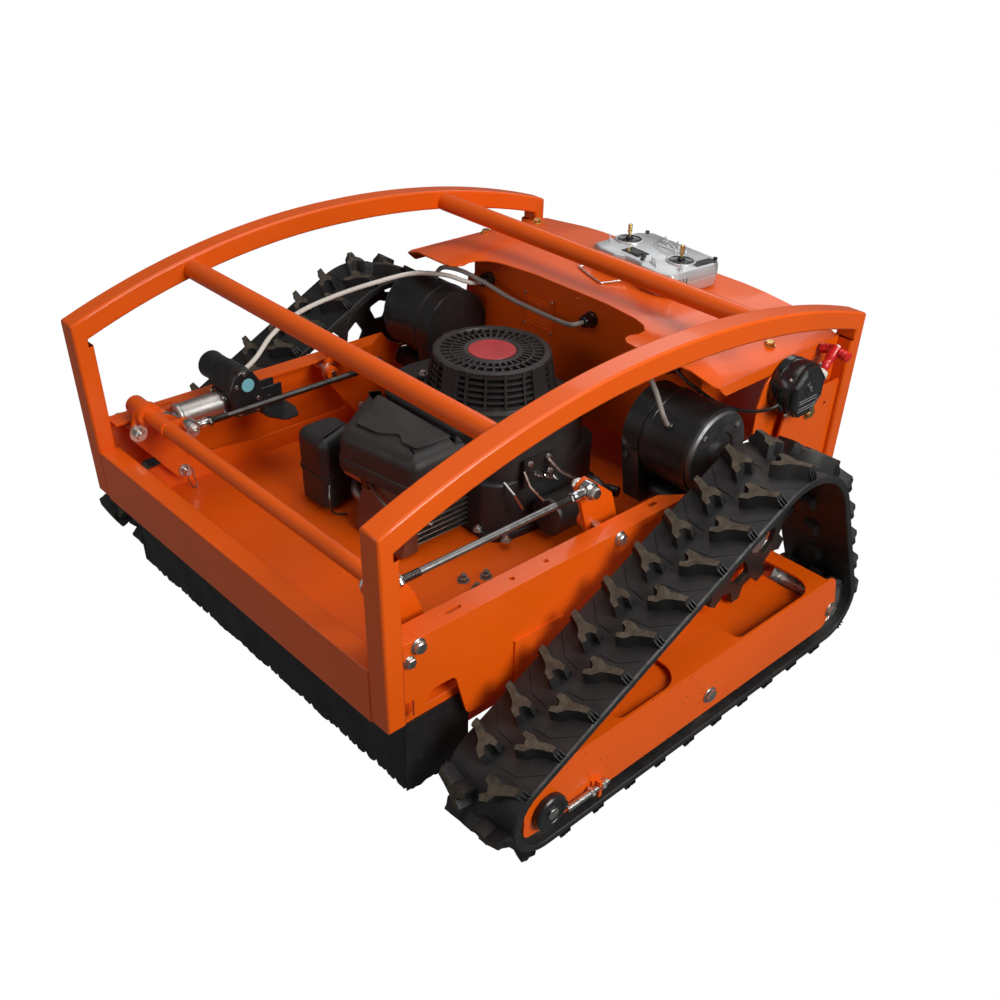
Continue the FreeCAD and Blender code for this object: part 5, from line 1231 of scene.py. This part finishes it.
# ------------------------------------------------------------------ ragged rubber skirt
bm = bmesh.new()
rnd = random.Random(11)
nx, nz = 160, 26
grid = []
for i in range(nx + 1):
    x = -399 + 798.0 * i / nx
    tear = 0.0
    if i % 10 in (0, 5):
        tear = rnd.random() * 9
    low = 46.5 + 4 * abs(math.sin(i * 0.73)) * rnd.random() + tear
    col = []
    for j in range(nz + 1):
        z = low + (195 - low) * j / nz
        wob = 0.8 * math.sin(i * 0.31 + j * 0.22) * (1 - j / nz)
        col.append((x, z, wob))
    grid.append(col)
F = [[bm.verts.new(P(x, 48.4 + w, z)) for x, z, w in col] for col in grid]
Bk = [[bm.verts.new(P(x, 51.2 + w * 0.4, z)) for x, z, w in col] for col in grid]
for i in range(nx):
    for j in range(nz):
        bm.faces.new((F[i][j], F[i + 1][j], F[i + 1][j + 1], F[i][j + 1]))
        bm.faces.new((Bk[i][j], Bk[i][j + 1], Bk[i + 1][j + 1], Bk[i + 1][j]))
    bm.faces.new((F[i][0], Bk[i][0], Bk[i + 1][0], F[i + 1][0]))
    bm.faces.new((F[i][nz], F[i + 1][nz], Bk[i + 1][nz], Bk[i][nz]))
for j in range(nz):
    bm.faces.new((F[0][j], F[0][j + 1], Bk[0][j + 1], Bk[0][j]))
    bm.faces.new((F[nx][j], Bk[nx][j], Bk[nx][j + 1], F[nx][j + 1]))
for sx in (1, -1):
    a = sorted((sx * 400.4, sx * 404.4))
    FL = []
    for (xx) in a:
        FL.append([[bm.verts.new(P(xx, 48 + 120.0 * i / 24, (46 + 6 * rnd.random() if j == 0 else 46 + 139.0 * j / 6))) for j in range(7)] for i in range(25)])
    for i in range(24):
        for j in range(6):
            bm.faces.new((FL[0][i][j], FL[0][i + 1][j], FL[0][i + 1][j + 1], FL[0][i][j + 1]))
            bm.faces.new((FL[1][i][j], FL[1][i][j + 1], FL[1][i + 1][j + 1], FL[1][i + 1][j]))
        bm.faces.new((FL[0][i][0], FL[1][i][0], FL[1][i + 1][0], FL[0][i + 1][0]))
        bm.faces.new((FL[0][i][6], FL[0][i + 1][6], FL[1][i + 1][6], FL[1][i][6]))
    for j in range(6):
        bm.faces.new((FL[0][0][j], FL[0][0][j + 1], FL[1][0][j + 1], FL[1][0][j]))
        bm.faces.new((FL[0][24][j], FL[1][24][j], FL[1][24][j + 1], FL[0][24][j + 1]))
fix(bm)
obj_from(bm, "skirt", ["skirt"], "deck", ("rubber_skirt",), 50)

# orange pans inside the track frames, behind the openings of the side webs
bm = bmesh.new()
for sx in (1, -1):
    for (y0, y1, z) in ((292, 456, 158), (584, 806, 140)):
        xs = sorted((sx * 462, sx * 592))
        bm_box(bm, P(xs[0], y0, z), P(xs[1], y1, z + 3), 0)
fix(bm)
obj_from(bm, "frame_pans", ["orange_dirty"], "chassis", (), 30, 0.0008)


# ------------------------------------------------------------------ floor and lights
def stage():
    bpy.ops.mesh.primitive_plane_add(size=30, location=(0, 0, 0))
    fl = bpy.context.object
    fl.name = "floor"
    k = Nodes("floor")
    k.set(color=(0.0, 0.0, 0.0), rough=1.0, spec=0.0)
    k.b.inputs["Emission Color"].default_value = (1, 1, 1, 1)
    k.b.inputs["Emission Strength"].default_value = 1.0
    fl.data.materials.append(k.m)
    fl.visible_diffuse = False
    fl.visible_glossy = False
    bpy.ops.mesh.primitive_plane_add(size=60, location=(-14, 14, 0), rotation=(math.radians(90), 0, math.radians(45)))
    bd = bpy.context.object
    bd.name = "backdrop"
    bd.data.materials.append(k.m)
    bd.visible_diffuse = False
    bd.visible_glossy = False
    w = bpy.data.worlds.new("studio")
    bpy.context.scene.world = w
    w.use_nodes = True
    bg = w.node_tree.nodes["Background"]
    bg.inputs[0].default_value = (1.0, 0.99, 0.98, 1)
    bg.inputs[1].default_value = 0.12

    def area(name, loc, target, size, power, col=(1, 1, 1)):
        l = bpy.data.lights.new(name, "AREA")
        l.shape = "RECTANGLE"
        l.size, l.size_y = size
        l.energy = power
        l.color = col
        o = bpy.data.objects.new(name, l)
        bpy.context.scene.collection.objects.link(o)
        d = (Vector(target) - Vector(loc)).normalized()
        o.rotation_euler = d.to_track_quat("-Z", "Y").to_euler()
        o.location = loc
        return o
    area("side", (3.0, 0.1, 2.1), (0, 0, 0.3), (1.6, 1.6), 100, (1.0, 0.985, 0.96))
    area("top", (0.1, 0.5, 3.5), (0, 0, 0.3), (2.4, 2.4), 42, (1.0, 0.99, 0.98))
    area("fill", (-0.6, -3.3, 1.8), (0, 0, 0.3), (2.0, 1.4), 17, (1.0, 0.98, 0.96))
    area("rear", (-1.5, 3.0, 2.6), (0, 0, 0.3), (2.6, 1.4), 18, (0.97, 0.98, 1.0))


stage()

sc = bpy.context.scene
sc.view_settings.view_transform = "Standard"
sc.view_settings.look = "None"
sc.view_settings.exposure = 0.0
sc.view_settings.gamma = 1.0
